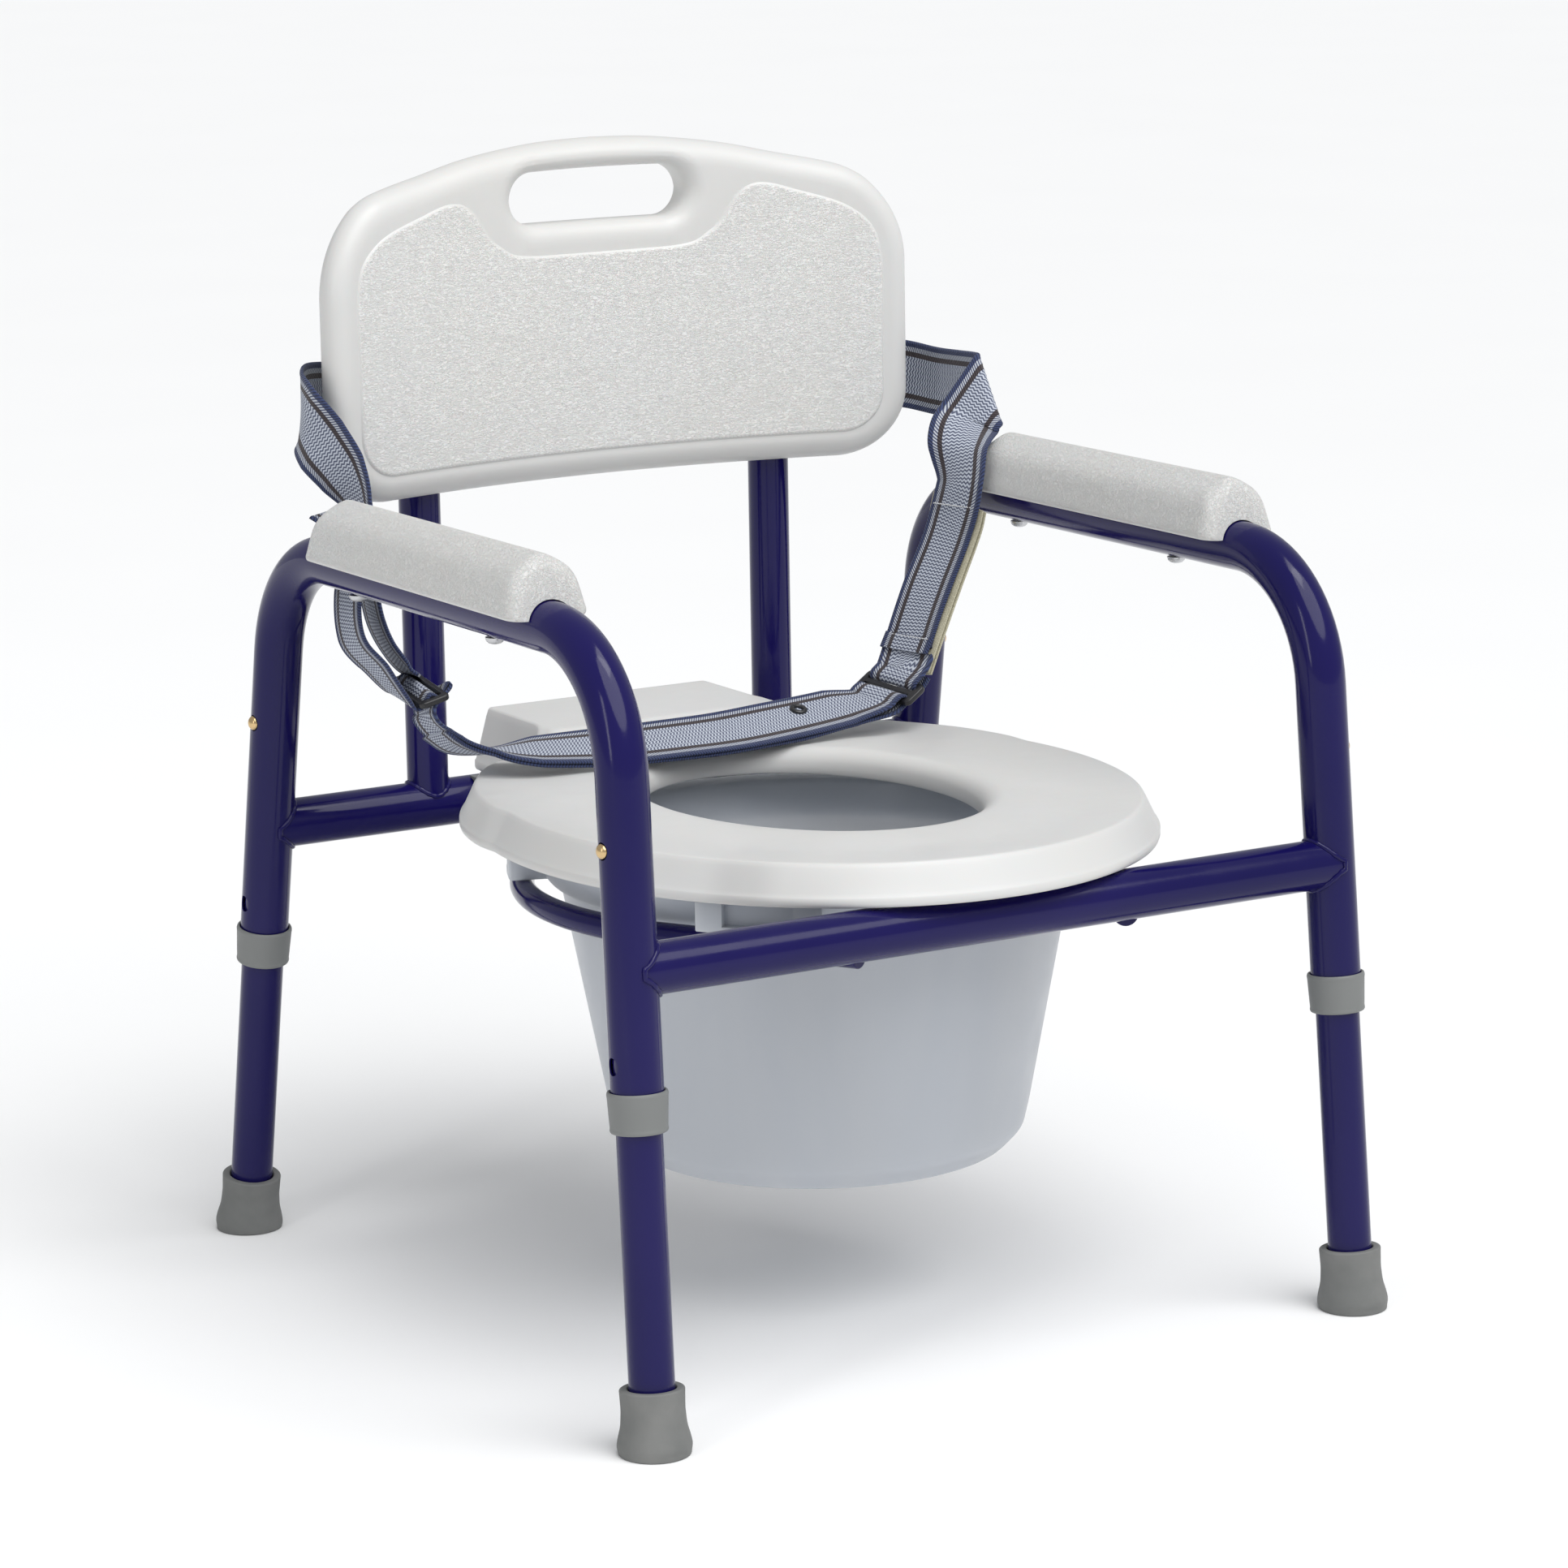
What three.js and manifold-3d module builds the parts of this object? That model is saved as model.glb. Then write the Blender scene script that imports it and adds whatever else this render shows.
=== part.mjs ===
// Commode chair: a bent-tube frame on four height-adjustable legs, with a moulded back,
// arm pads, a hinged seat ring over a lift-out pail, and a webbing safety strap.
// Millimetres. +Z up, +X to the right of a viewer facing the chair, front at -Y.
// Origin: on the floor, at the middle of the chair's footprint.
import * as THREE from 'three';
import { mergeVertices } from 'three/addons/utils/BufferGeometryUtils.js';
import Module from 'manifold-3d';

const wasm = await Module();
wasm.setup();

// ---------------------------------------------------------------- driving dimensions
const GAP = 0.3;                    // clearance between neighbouring pieces
const SIDES = 12;                   // facets round a tube

const TUBE_RADIUS = 12.7;           // side frames and crossbars
const TUBE_BORE = 11.8;
const LEG_RADIUS = 11.1;            // leg extensions and backrest posts
const LEG_BORE = 10.1;

const FOOT_X = 204.5;               // leg centre lines at floor level
const FOOT_Y = 224;
const LEG_LEAN = 0.0125;            // inward lean, mm per mm of height
const FRONT_RAKE = 0.0766;          // rearward lean of the front legs
const REAR_RAKE = 0.1705;           // forward lean of the rear legs
const ARM_HEIGHT = 381.1;           // centre line of the armrest tube
const BEND_RADIUS = 66;
const BEND_STEPS = 7;

const TUBE_END = 156.5;             // lower end of the side frame's legs
const LEG_TOP = 311.5;              // upper end of the leg extensions
const BUTTON_HEIGHT = 287;          // snap button at rest
const LEG_TRAVEL = 101.6;           // down the leg to the second hole
const BUTTON_HOLE = 4.3;
const BUTTON_RADIUS = 3.8;
const BUTTON_PROUD = 2.4;           // dome outside the tube

const BAR_HEIGHT = 229.2;           // both crossbars
const FRONT_BAR_Y = -206.7;
const REAR_BAR_Y = 184.6;
const POST_X = 107.6;
const POST_TOP = 525.5;

const BACK_HALF_WIDTH = 176;
const BACK_BOTTOM = 398.5;
const BACK_TOP = 580;
const BACK_CENTRE_Y = 172.6;        // front face at the middle
const BACK_SWEEP = 33;              // how far the side edges come forward
const BACK_THICKNESS = 26;

const PAD_FRONT = -134;
const PAD_REAR = 94;
const PAD_HALF_WIDTH = 22;
const PAD_BOTTOM = 385.3;
const PAD_TOP = 415.5;

const RING_CENTRE_Y = -39;
const RING_HALF_WIDTH = 168;
const RING_HALF_LENGTH = 191.5;
const RING_BOTTOM = 242.9;
const RING_TOP = 263.5;
const SHOULDER_X = 104;             // where the ring meets the rear block
const SHOULDER_Y = 124;
const HOLE_HALF_WIDTH = 79;
const HOLE_HALF_LENGTH = 106;
const HOLE_CENTRE_Y = -35;
const BLOCK_HALF_WIDTH = 76;
const BLOCK_FRONT = 100;
const BLOCK_REAR = 199;
const BLOCK_TOP = 276.5;

const HOOP_RADIUS = 148;
const HOOP_CENTRE_Y = -34;
const HOOP_ROD = 6.35;
const HOOP_HEIGHT = 217;
const HOOP_FRONT_X = 77;            // where the rods meet the crossbars
const HOOP_REAR_X = 50;

const PAIL_CENTRE_Y = -39;
const PAIL_TOP = 241;
const PAIL_RIM = 150;               // rim radius at the top
const PAIL_COLLAR = 137;            // rim radius where the collar starts
const PAIL_SHOULDER = 221.5;        // height where the collar starts
const PAIL_MOUTH = 131;
const PAIL_FOOT = 108.5;
const PAIL_BOTTOM = 77;
const PAIL_WALL = 2.6;

const STRAP_WIDTH = 38;
const STRAP_THICKNESS = 1.8;

// ---------------------------------------------------------------- materials
const LOOKS = {
  blue_paint: { color: 0x1f1a5c, roughness: 0.2, metalness: 0.0 },
  white_plastic: { color: 0xe3e2dd, roughness: 0.5, metalness: 0.0 },
  pail_plastic: { color: 0xdde2ee, roughness: 0.35, metalness: 0.0 },
  grey_plastic: { color: 0x8e908d, roughness: 0.55, metalness: 0.0 },
  grey_rubber: { color: 0x7d807c, roughness: 0.8, metalness: 0.0 },
  brass: { color: 0xc9a56b, roughness: 0.25, metalness: 1.0 },
  steel: { color: 0xa9abad, roughness: 0.3, metalness: 1.0 },
  webbing: { color: 0x6d7688, roughness: 0.9, metalness: 0.0 },
  hook_tape: { color: 0xc9c4a4, roughness: 0.95, metalness: 0.0 },
  black_plastic: { color: 0x17171a, roughness: 0.35, metalness: 0.0 },
};

const chair = new THREE.Group();

function addPiece(name, look, geometry) {
  const mesh = new THREE.Mesh(geometry, new THREE.MeshStandardMaterial(LOOKS[look]));
  mesh.name = name;
  chair.add(mesh);
  return mesh;
}

// ---------------------------------------------------------------- solids and booleans
function solidOf(geometry) {
  const bare = geometry.clone();
  bare.deleteAttribute('normal');
  bare.deleteAttribute('uv');
  const merged = mergeVertices(bare, 1e-4);
  return new wasm.Manifold(new wasm.Mesh({
    numProp: 3,
    vertProperties: new Float32Array(merged.attributes.position.array),
    triVerts: new Uint32Array(merged.index.array),
  }));
}

function geometryOf(solid) {
  const mesh = solid.getMesh();
  const geometry = new THREE.BufferGeometry();
  const positions = new Float32Array(mesh.numVert * 3);
  for (let i = 0; i < mesh.numVert; i += 1) {
    for (let k = 0; k < 3; k += 1) {
      positions[3 * i + k] = mesh.vertProperties[mesh.numProp * i + k];
    }
  }
  geometry.setAttribute('position', new THREE.BufferAttribute(positions, 3));
  geometry.setIndex(new THREE.BufferAttribute(new Uint32Array(mesh.triVerts), 1));
  return geometry;
}

const vec = (x, y, z) => new THREE.Vector3(x, y, z);

// Turns a geometry made along +Z so that it runs along a direction from a point.
function placeAlong(geometry, point, direction) {
  const turn = new THREE.Quaternion().setFromUnitVectors(vec(0, 0, 1), direction.clone().normalize());
  return geometry.applyQuaternion(turn).translate(point.x, point.y, point.z);
}

// A round bar between two points, used as a piece or as a cutter.
function bar(start, end, radius, sides = SIDES) {
  const along = end.clone().sub(start);
  const geometry = new THREE.CylinderGeometry(radius, radius, along.length(), sides);
  geometry.rotateX(Math.PI / 2);
  return placeAlong(geometry, start.clone().add(end).multiplyScalar(0.5), along);
}

// A closed loop of [radius, height] points turned about +Z.
function turned(profile, sides = SIDES) {
  const points = profile.map(([r, z]) => new THREE.Vector2(r, z));
  const first = profile[0];
  const last = profile[profile.length - 1];
  if (first[0] > 0 || last[0] > 0) {
    points.push(new THREE.Vector2(first[0], first[1]));
  }
  const geometry = new THREE.LatheGeometry(points, sides);
  return geometry.rotateX(Math.PI / 2);
}

function box(low, high) {
  const size = [high[0] - low[0], high[1] - low[1], high[2] - low[2]];
  const middle = [(high[0] + low[0]) / 2, (high[1] + low[1]) / 2, (high[2] + low[2]) / 2];
  return new THREE.BoxGeometry(...size).translate(...middle);
}

// A flat outline of [x, y] points, with holes, raised from one height to another.
function slab(outline, low, high, holes = []) {
  const shape = new THREE.Shape(outline.map(([x, y]) => new THREE.Vector2(x, y)));
  for (const hole of holes) {
    shape.holes.push(new THREE.Path(hole.map(([x, y]) => new THREE.Vector2(x, y))));
  }
  const geometry = new THREE.ExtrudeGeometry(shape, { depth: high - low, bevelEnabled: false });
  return geometry.translate(0, 0, low);
}

function arcPoints(cx, cy, radius, from, to, steps, radiusY = radius) {
  const points = [];
  for (let i = 0; i <= steps; i += 1) {
    const angle = THREE.MathUtils.degToRad(from + (to - from) * i / steps);
    points.push([cx + radius * Math.cos(angle), cy + radiusY * Math.sin(angle)]);
  }
  return points;
}

// ---------------------------------------------------------------- tubes along a path
// A path that has its stations exactly where the points are.
class StationPath extends THREE.Curve {
  constructor(stations) {
    super();
    this.stations = stations;
  }

  getPointAt(u) {
    const last = this.stations.length - 1;
    const index = Math.min(Math.floor(u * last + 1e-6), last - 1);
    return this.stations[index].clone().lerp(this.stations[index + 1], u * last - index);
  }

  getPoint(u) {
    return this.getPointAt(u);
  }

  getTangentAt(u) {
    const last = this.stations.length - 1;
    const index = Math.round(u * last);
    const before = this.stations[Math.max(index - 1, 0)];
    const here = this.stations[index];
    const after = this.stations[Math.min(index + 1, last)];
    const inward = here.clone().sub(before).normalize();
    const outward = after.clone().sub(here).normalize();
    return inward.add(outward).normalize();
  }
}

// Straight lines between corners, joined by arcs of one radius.
function bentPath(corners, radius, steps) {
  const stations = [corners[0]];
  for (let i = 1; i < corners.length - 1; i += 1) {
    const back = corners[i - 1].clone().sub(corners[i]).normalize();
    const ahead = corners[i + 1].clone().sub(corners[i]).normalize();
    const half = back.angleTo(ahead) / 2;
    const bisector = back.clone().add(ahead).normalize();
    const centre = corners[i].clone().addScaledVector(bisector, radius / Math.sin(half));
    const start = corners[i].clone().addScaledVector(back, radius / Math.tan(half));
    const outward = start.clone().sub(centre);
    for (let k = 0; k <= steps; k += 1) {
      const angle = (Math.PI - 2 * half) * k / steps;
      stations.push(centre.clone()
        .addScaledVector(outward, Math.cos(angle))
        .addScaledVector(back, -radius * Math.sin(angle)));
    }
  }
  stations.push(corners[corners.length - 1]);
  return stations;
}

function circleShape(radius, sides) {
  return arcPoints(0, 0, radius, 0, 360 - 360 / sides, sides - 1)
    .map(([x, y]) => new THREE.Vector2(x, y));
}

function tubeAlong(stations, radius, bore = 0, sides = SIDES) {
  const shape = new THREE.Shape(circleShape(radius, sides));
  if (bore > 0) {
    shape.holes.push(new THREE.Path(circleShape(bore, sides)));
  }
  return new THREE.ExtrudeGeometry(shape, {
    steps: stations.length - 1,
    extrudePath: new StationPath(stations),
    bevelEnabled: false,
  });
}

// ---------------------------------------------------------------- legs and side frames
const LEGS = [
  { name: 'front_left', side: -1, row: -1 },
  { name: 'front_right', side: 1, row: -1 },
  { name: 'rear_left', side: -1, row: 1 },
  { name: 'rear_right', side: 1, row: 1 },
];

function legPoint(side, row, z) {
  const rake = row < 0 ? FRONT_RAKE : REAR_RAKE;
  return vec(side * (FOOT_X - LEG_LEAN * z), row * (FOOT_Y - rake * z), z);
}

function legUp(side, row) {
  return legPoint(side, row, 100).sub(legPoint(side, row, 0)).normalize();
}

// Across the leg, pointing away from the chair: the way a snap button looks.
function legOutward(side, row) {
  const up = legUp(side, row);
  const out = vec(side, 0, 0);
  return out.addScaledVector(up, -out.dot(up)).normalize();
}

function buttonHole(side, row, z, radius) {
  const point = legPoint(side, row, z);
  const out = legOutward(side, row);
  const far = point.clone().addScaledVector(out, 2 * TUBE_RADIUS);
  return solidOf(bar(point, far, radius, 8));
}

function sideFrame(side) {
  const stations = bentPath([
    legPoint(side, -1, TUBE_END),
    legPoint(side, -1, ARM_HEIGHT),
    legPoint(side, 1, ARM_HEIGHT),
    legPoint(side, 1, TUBE_END),
  ], BEND_RADIUS, BEND_STEPS);
  let solid = solidOf(tubeAlong(stations, TUBE_RADIUS, TUBE_BORE));
  for (const row of [-1, 1]) {
    const spareHeight = BUTTON_HEIGHT - LEG_TRAVEL * legUp(side, row).z;
    for (const z of [BUTTON_HEIGHT, spareHeight]) {
      solid = solid.subtract(buttonHole(side, row, z, BUTTON_HOLE));
    }
  }
  return geometryOf(solid);
}

const sideName = (side) => (side < 0 ? 'left' : 'right');

for (const side of [-1, 1]) {
  addPiece(`side_frame_${sideName(side)}`, 'blue_paint', sideFrame(side));
}

function legExtension(side, row) {
  const low = legPoint(side, row, TIP_FLOOR + 1);
  const high = legPoint(side, row, LEG_TOP);
  const solid = solidOf(tubeAlong([low, high], LEG_RADIUS, LEG_BORE));
  return geometryOf(solid.subtract(buttonHole(side, row, BUTTON_HEIGHT, BUTTON_HOLE)));
}

const TIP_HEIGHT = 31.2;
const TIP_FLOOR = 6;
const TIP_BORE = 11.6;
const TIP_PROFILE = [
  [0, -8], [16.4, -8], [18.1, 3], [18.1, 6], [15.6, 14], [15.3, 21], [15.6, TIP_HEIGHT - 1],
  [15.0, TIP_HEIGHT], [TIP_BORE, TIP_HEIGHT], [TIP_BORE, TIP_FLOOR], [0, TIP_FLOOR],
];

function legTip(side, row) {
  const turnedTip = placeAlong(turned(TIP_PROFILE, 16), legPoint(side, row, 0), legUp(side, row));
  const floor = box([-400, -400, -60], [400, 400, 0]);
  return geometryOf(solidOf(turnedTip).subtract(solidOf(floor)));
}

// Collar moulded round the end of the outer tube, with a lip under it.
const COLLAR_PROFILE = [
  [11.75, -2.4], [13.3, -2.6], [13.8, -1.8], [14.4, 15.8], [13.9, 16.6], [13.2, 16.6],
  [13.2, -0.6], [11.75, -0.6],
];

function legCollar(side, row) {
  return placeAlong(turned(COLLAR_PROFILE, 16), legPoint(side, row, TUBE_END), legUp(side, row));
}

// Domed button on a short shank; it slides in through both tube walls.
function snapButton(side, row) {
  const proud = TUBE_RADIUS + BUTTON_PROUD;
  const profile = [
    [0, 6.2], [BUTTON_RADIUS, 6.2], [BUTTON_RADIUS, proud - 2], [BUTTON_RADIUS * 0.72, proud - 0.7],
    [0, proud],
  ];
  const point = legPoint(side, row, BUTTON_HEIGHT);
  return placeAlong(turned(profile, 10), point, legOutward(side, row));
}

// Leaf spring folded like a hairpin inside the leg; its open end carries the button.
function springClip(side, row) {
  const up = legUp(side, row);
  const out = legOutward(side, row);
  const across = new THREE.Vector3().crossVectors(up, out);
  const outline = [
    [5.6, 5], [5.6, -6], [2.2, -38], [0, -42], [-2.2, -38], [-8.2, 2],
    [-7.3, 2.2], [-1.5, -37.6], [0, -40.6], [1.5, -37.6], [4.8, -6], [4.8, 5],
  ];
  const geometry = slab(outline, -3.2, 3.2);
  const basis = new THREE.Matrix4().makeBasis(out, up, across.negate());
  const point = legPoint(side, row, BUTTON_HEIGHT);
  return geometry.applyMatrix4(basis).translate(point.x, point.y, point.z);
}

for (const { name, side, row } of LEGS) {
  addPiece(`leg_extension_${name}`, 'blue_paint', legExtension(side, row));
  addPiece(`leg_tip_${name}`, 'grey_rubber', legTip(side, row));
  addPiece(`leg_collar_${name}`, 'grey_plastic', legCollar(side, row));
  addPiece(`snap_button_${name}`, 'brass', snapButton(side, row));
  addPiece(`spring_clip_${name}`, 'steel', springClip(side, row));
}

// ---------------------------------------------------------------- crossbars and posts
// A bar between the side frames, its ends cut to saddle their legs.
function crossbar(row, y) {
  const reach = FOOT_X - LEG_LEAN * BAR_HEIGHT;
  const ends = [vec(-reach, y, BAR_HEIGHT), vec(reach, y, BAR_HEIGHT)];
  let solid = solidOf(tubeAlong(ends, TUBE_RADIUS, TUBE_BORE));
  for (const side of [-1, 1]) {
    const cutter = bar(legPoint(side, row, BAR_HEIGHT - 35), legPoint(side, row, BAR_HEIGHT + 40),
      TUBE_RADIUS + GAP, 16);
    solid = solid.subtract(solidOf(cutter));
  }
  return geometryOf(largestPart(solid));
}

function largestPart(solid) {
  const parts = solid.decompose();
  return parts.reduce((best, part) => (part.volume() > best.volume() ? part : best));
}

addPiece('front_crossbar', 'blue_paint', crossbar(-1, FRONT_BAR_Y));
addPiece('rear_crossbar', 'blue_paint', crossbar(1, REAR_BAR_Y));

function backrestPost(side) {
  const x = side * POST_X;
  const stations = [vec(x, REAR_BAR_Y, BAR_HEIGHT), vec(x, REAR_BAR_Y, POST_TOP)];
  const seat = bar(vec(x - 40, REAR_BAR_Y, BAR_HEIGHT), vec(x + 40, REAR_BAR_Y, BAR_HEIGHT),
    TUBE_RADIUS + GAP, SIDES * 2);
  const post = solidOf(tubeAlong(stations, LEG_RADIUS, LEG_BORE));
  return geometryOf(largestPart(post.subtract(solidOf(seat))));
}

for (const side of [-1, 1]) {
  addPiece(`backrest_post_${sideName(side)}`, 'blue_paint', backrestPost(side));
}

// ---------------------------------------------------------------- pail hoops
// Each hoop is a C of round rod, its straight ends notched and welded under the crossbars.
function pailHoop(side) {
  // angle on the circle where the straight line to a weld leaves it
  const tangent = (x, depth) => Math.atan2(depth, x) - Math.acos(HOOP_RADIUS / Math.hypot(x, depth));
  const angles = [
    tangent(HOOP_FRONT_X, HOOP_CENTRE_Y - FRONT_BAR_Y),
    tangent(HOOP_REAR_X, REAR_BAR_Y - HOOP_CENTRE_Y),
  ];
  const arcSteps = 10;
  const stations = [vec(side * HOOP_FRONT_X, FRONT_BAR_Y, HOOP_HEIGHT)];
  for (let i = 0; i <= arcSteps; i += 1) {
    const angle = -angles[0] + (angles[0] + angles[1]) * i / arcSteps;
    stations.push(vec(side * HOOP_RADIUS * Math.cos(angle),
      HOOP_CENTRE_Y + HOOP_RADIUS * Math.sin(angle), HOOP_HEIGHT));
  }
  stations.push(vec(side * HOOP_REAR_X, REAR_BAR_Y, HOOP_HEIGHT));
  let solid = solidOf(tubeAlong(stations, HOOP_ROD, 0, 10));
  for (const y of [FRONT_BAR_Y, REAR_BAR_Y]) {
    const saddle = bar(vec(-FOOT_X, y, BAR_HEIGHT), vec(FOOT_X, y, BAR_HEIGHT), TUBE_RADIUS + GAP, 24);
    solid = solid.subtract(solidOf(saddle));
  }
  return geometryOf(largestPart(solid));
}

for (const side of [-1, 1]) {
  addPiece(`pail_hoop_${sideName(side)}`, 'blue_paint', pailHoop(side));
}

// ---------------------------------------------------------------- backrest
// Front outline as [x, z]: a low arch over square shoulders and round lower corners.
function backOutline() {
  const corner = 38;
  const right = [
    ...arcPoints(BACK_HALF_WIDTH - corner, BACK_BOTTOM + corner, corner, -90, 0, 5),
    ...arcPoints(BACK_HALF_WIDTH - 60, BACK_TOP - 74, 60, 0, 52, 4),
    [104, BACK_TOP - 12.5], [60, BACK_TOP - 4], [30, BACK_TOP - 1], [0, BACK_TOP],
  ];
  const left = right.slice(0, -1).reverse().map(([x, z]) => [-x, z]);
  return [...right, ...left];
}

const HANDLE_HALF_WIDTH = 53.5;
const HANDLE_BOTTOM = 536;
const HANDLE_TOP = 564.1;

function handleOutline() {
  const radius = (HANDLE_TOP - HANDLE_BOTTOM) / 2;
  const middle = (HANDLE_TOP + HANDLE_BOTTOM) / 2;
  const x = HANDLE_HALF_WIDTH - radius;
  return [...arcPoints(x, middle, radius, -90, 90, 5), ...arcPoints(-x, middle, radius, 90, 270, 5)];
}

// Plan section: a curved plate with rounded side edges, thicker where it holds the posts.
const POST_COVER = 3.4;             // panel behind a post
const SIDE_ROUNDING = [[0, 0], [8, 3], [11, 8]];   // [in from the edge, in from the face]

function backSection() {
  const front = (x) => BACK_CENTRE_Y - BACK_SWEEP * (x / BACK_HALF_WIDTH) ** 2;
  const rear = (x) => front(x) + BACK_THICKNESS;
  const boss = REAR_BAR_Y + LEG_RADIUS + POST_COVER;
  const flat = BACK_HALF_WIDTH - SIDE_ROUNDING[2][0];
  const frontXs = [0, 30, 60, 90, 120, 145];
  const right = [
    ...frontXs.map((x) => [x, front(x)]),
    ...SIDE_ROUNDING.map(([out, deep]) => [flat + out, front(flat + out) + deep]),
    ...SIDE_ROUNDING.slice().reverse().map(([out, deep]) => [flat + out, rear(flat + out) - deep]),
    [145, rear(145)], [POST_X + 19, rear(POST_X + 19)], [POST_X + 11, boss],
    [POST_X - 11, boss], [POST_X - 19, rear(POST_X - 19)],
    [60, rear(60)], [30, rear(30)], [0, rear(0)],
  ];
  const left = right.slice(1, -1).reverse().map(([x, y]) => [-x, y]);
  return [...right, ...left];
}

function backrest() {
  const faceOn = slab(backOutline(), -260, -100, [handleOutline()]);
  faceOn.rotateX(Math.PI / 2);
  let solid = solidOf(faceOn).intersect(solidOf(slab(backSection(), BACK_BOTTOM - 20, BACK_TOP + 20)));
  for (const side of [-1, 1]) {
    const x = side * POST_X;
    const socket = bar(vec(x, REAR_BAR_Y, BACK_BOTTOM - 20), vec(x, REAR_BAR_Y, POST_TOP + 2),
      LEG_RADIUS + 0.75, 14);
    solid = solid.subtract(solidOf(socket));
  }
  return geometryOf(solid);
}

addPiece('backrest_panel', 'white_plastic', backrest());

// ---------------------------------------------------------------- arm pads
// Half-round channel underneath for the tube, flat sides, and a crowned top.
function armPadSection() {
  const crown = 9;
  const top = [
    [PAD_HALF_WIDTH, PAD_BOTTOM], [PAD_HALF_WIDTH, PAD_TOP - crown], [PAD_HALF_WIDTH - 3, PAD_TOP - 4],
    [PAD_HALF_WIDTH - 9, PAD_TOP], [-PAD_HALF_WIDTH + 9, PAD_TOP], [-PAD_HALF_WIDTH + 3, PAD_TOP - 4],
    [-PAD_HALF_WIDTH, PAD_TOP - crown], [-PAD_HALF_WIDTH, PAD_BOTTOM],
  ];
  const radius = TUBE_RADIUS + 0.6;
  const start = THREE.MathUtils.radToDeg(Math.asin((PAD_BOTTOM - ARM_HEIGHT) / radius));
  return [...top, ...arcPoints(0, ARM_HEIGHT, radius, 180 - start, start, 7)];
}

function armPad(side) {
  const along = slab(armPadSection(), -PAD_REAR, -PAD_FRONT);
  along.rotateX(Math.PI / 2);
  return along.translate(side * (FOOT_X - LEG_LEAN * ARM_HEIGHT), 0, 0);
}

const PAD_SCREWS = [{ name: 'front', y: -75 }, { name: 'rear', y: 73 }];

// Pan-head screw from below the tube.
function padScrew(side, y) {
  const profile = [[0, -4.2], [3.2, -4], [4.6, -2.4], [4.8, 0], [0, 0]];
  const x = side * (FOOT_X - LEG_LEAN * ARM_HEIGHT);
  const geometry = turned(profile, 10);
  return geometry.translate(x, y, ARM_HEIGHT - TUBE_RADIUS - GAP);
}

for (const side of [-1, 1]) {
  addPiece(`arm_pad_${sideName(side)}`, 'white_plastic', armPad(side));
  for (const { name, y } of PAD_SCREWS) {
    addPiece(`arm_pad_screw_${sideName(side)}_${name}`, 'steel', padScrew(side, y));
  }
}

// Screws through the back of the panel into the posts.
const SCREW_HEIGHT = 493.5;

function backScrew(side) {
  const face = REAR_BAR_Y + LEG_RADIUS + POST_COVER + GAP;
  const profile = [[0, 0], [4.8, 0], [4.6, 2], [3.2, 3.2], [0, 3.4]];
  const geometry = turned(profile, 10).rotateX(-Math.PI / 2);
  return geometry.translate(side * POST_X, face, SCREW_HEIGHT);
}

for (const side of [-1, 1]) {
  addPiece(`backrest_screw_${sideName(side)}`, 'steel', backScrew(side));
}

// ---------------------------------------------------------------- seat
// Oval in front, drawn in at the rear shoulders, with a raised block over the hinge.
// Underneath it is a shell: a lip round the outside and one round the hole.
const LIP = 6;
const SHELL_CEILING = RING_TOP - 8;
const HOLE_LIP_BOTTOM = RING_TOP - 14;
const SHELL_REAR = 117;

function ringOutline(inset = 0) {
  const right = [
    ...arcPoints(0, RING_CENTRE_Y, RING_HALF_WIDTH - inset, -90, 12, 12, RING_HALF_LENGTH - inset),
    [RING_HALF_WIDTH - 4 - inset, 20], [154 - inset, 56], [134 - inset, 92],
    [SHOULDER_X + 12 - inset, 116 - inset], [SHOULDER_X - inset, SHOULDER_Y - inset],
  ];
  const left = right.slice(1).reverse().map(([x, y]) => [-x, y]);
  return [...right, ...left];
}

function holeOutline(margin = 0) {
  return arcPoints(0, HOLE_CENTRE_Y, HOLE_HALF_WIDTH + margin, 0, 345, 23, HOLE_HALF_LENGTH + margin);
}

function seatRing() {
  const below = RING_BOTTOM - 10;
  const lower = slab(ringOutline(), RING_BOTTOM, RING_TOP - 6, [holeOutline()]);
  const upper = slab(ringOutline(7), RING_TOP - 7, RING_TOP, [holeOutline()]);
  const blockLow = [-BLOCK_HALF_WIDTH, BLOCK_FRONT, RING_BOTTOM];
  const block = box(blockLow, [BLOCK_HALF_WIDTH, BLOCK_REAR, BLOCK_TOP]);
  const rearLow = [-RING_HALF_WIDTH, SHELL_REAR, below - 1];
  const solidRear = box(rearLow, [RING_HALF_WIDTH, BLOCK_REAR, BLOCK_TOP]);
  const hollow = solidOf(slab(ringOutline(LIP), below, SHELL_CEILING, [holeOutline(LIP)]))
    .add(solidOf(slab(holeOutline(LIP + 1), below, HOLE_LIP_BOTTOM)))
    .subtract(solidOf(solidRear));
  return geometryOf(solidOf(lower).add(solidOf(upper)).add(solidOf(block)).subtract(hollow));
}

addPiece('seat_ring', 'white_plastic', seatRing());

// Hook round the rear crossbar, open behind, hanging from a foot under the block.
const CLIP_X = 74;
const CLIP_HALF_WIDTH = 10;

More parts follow.
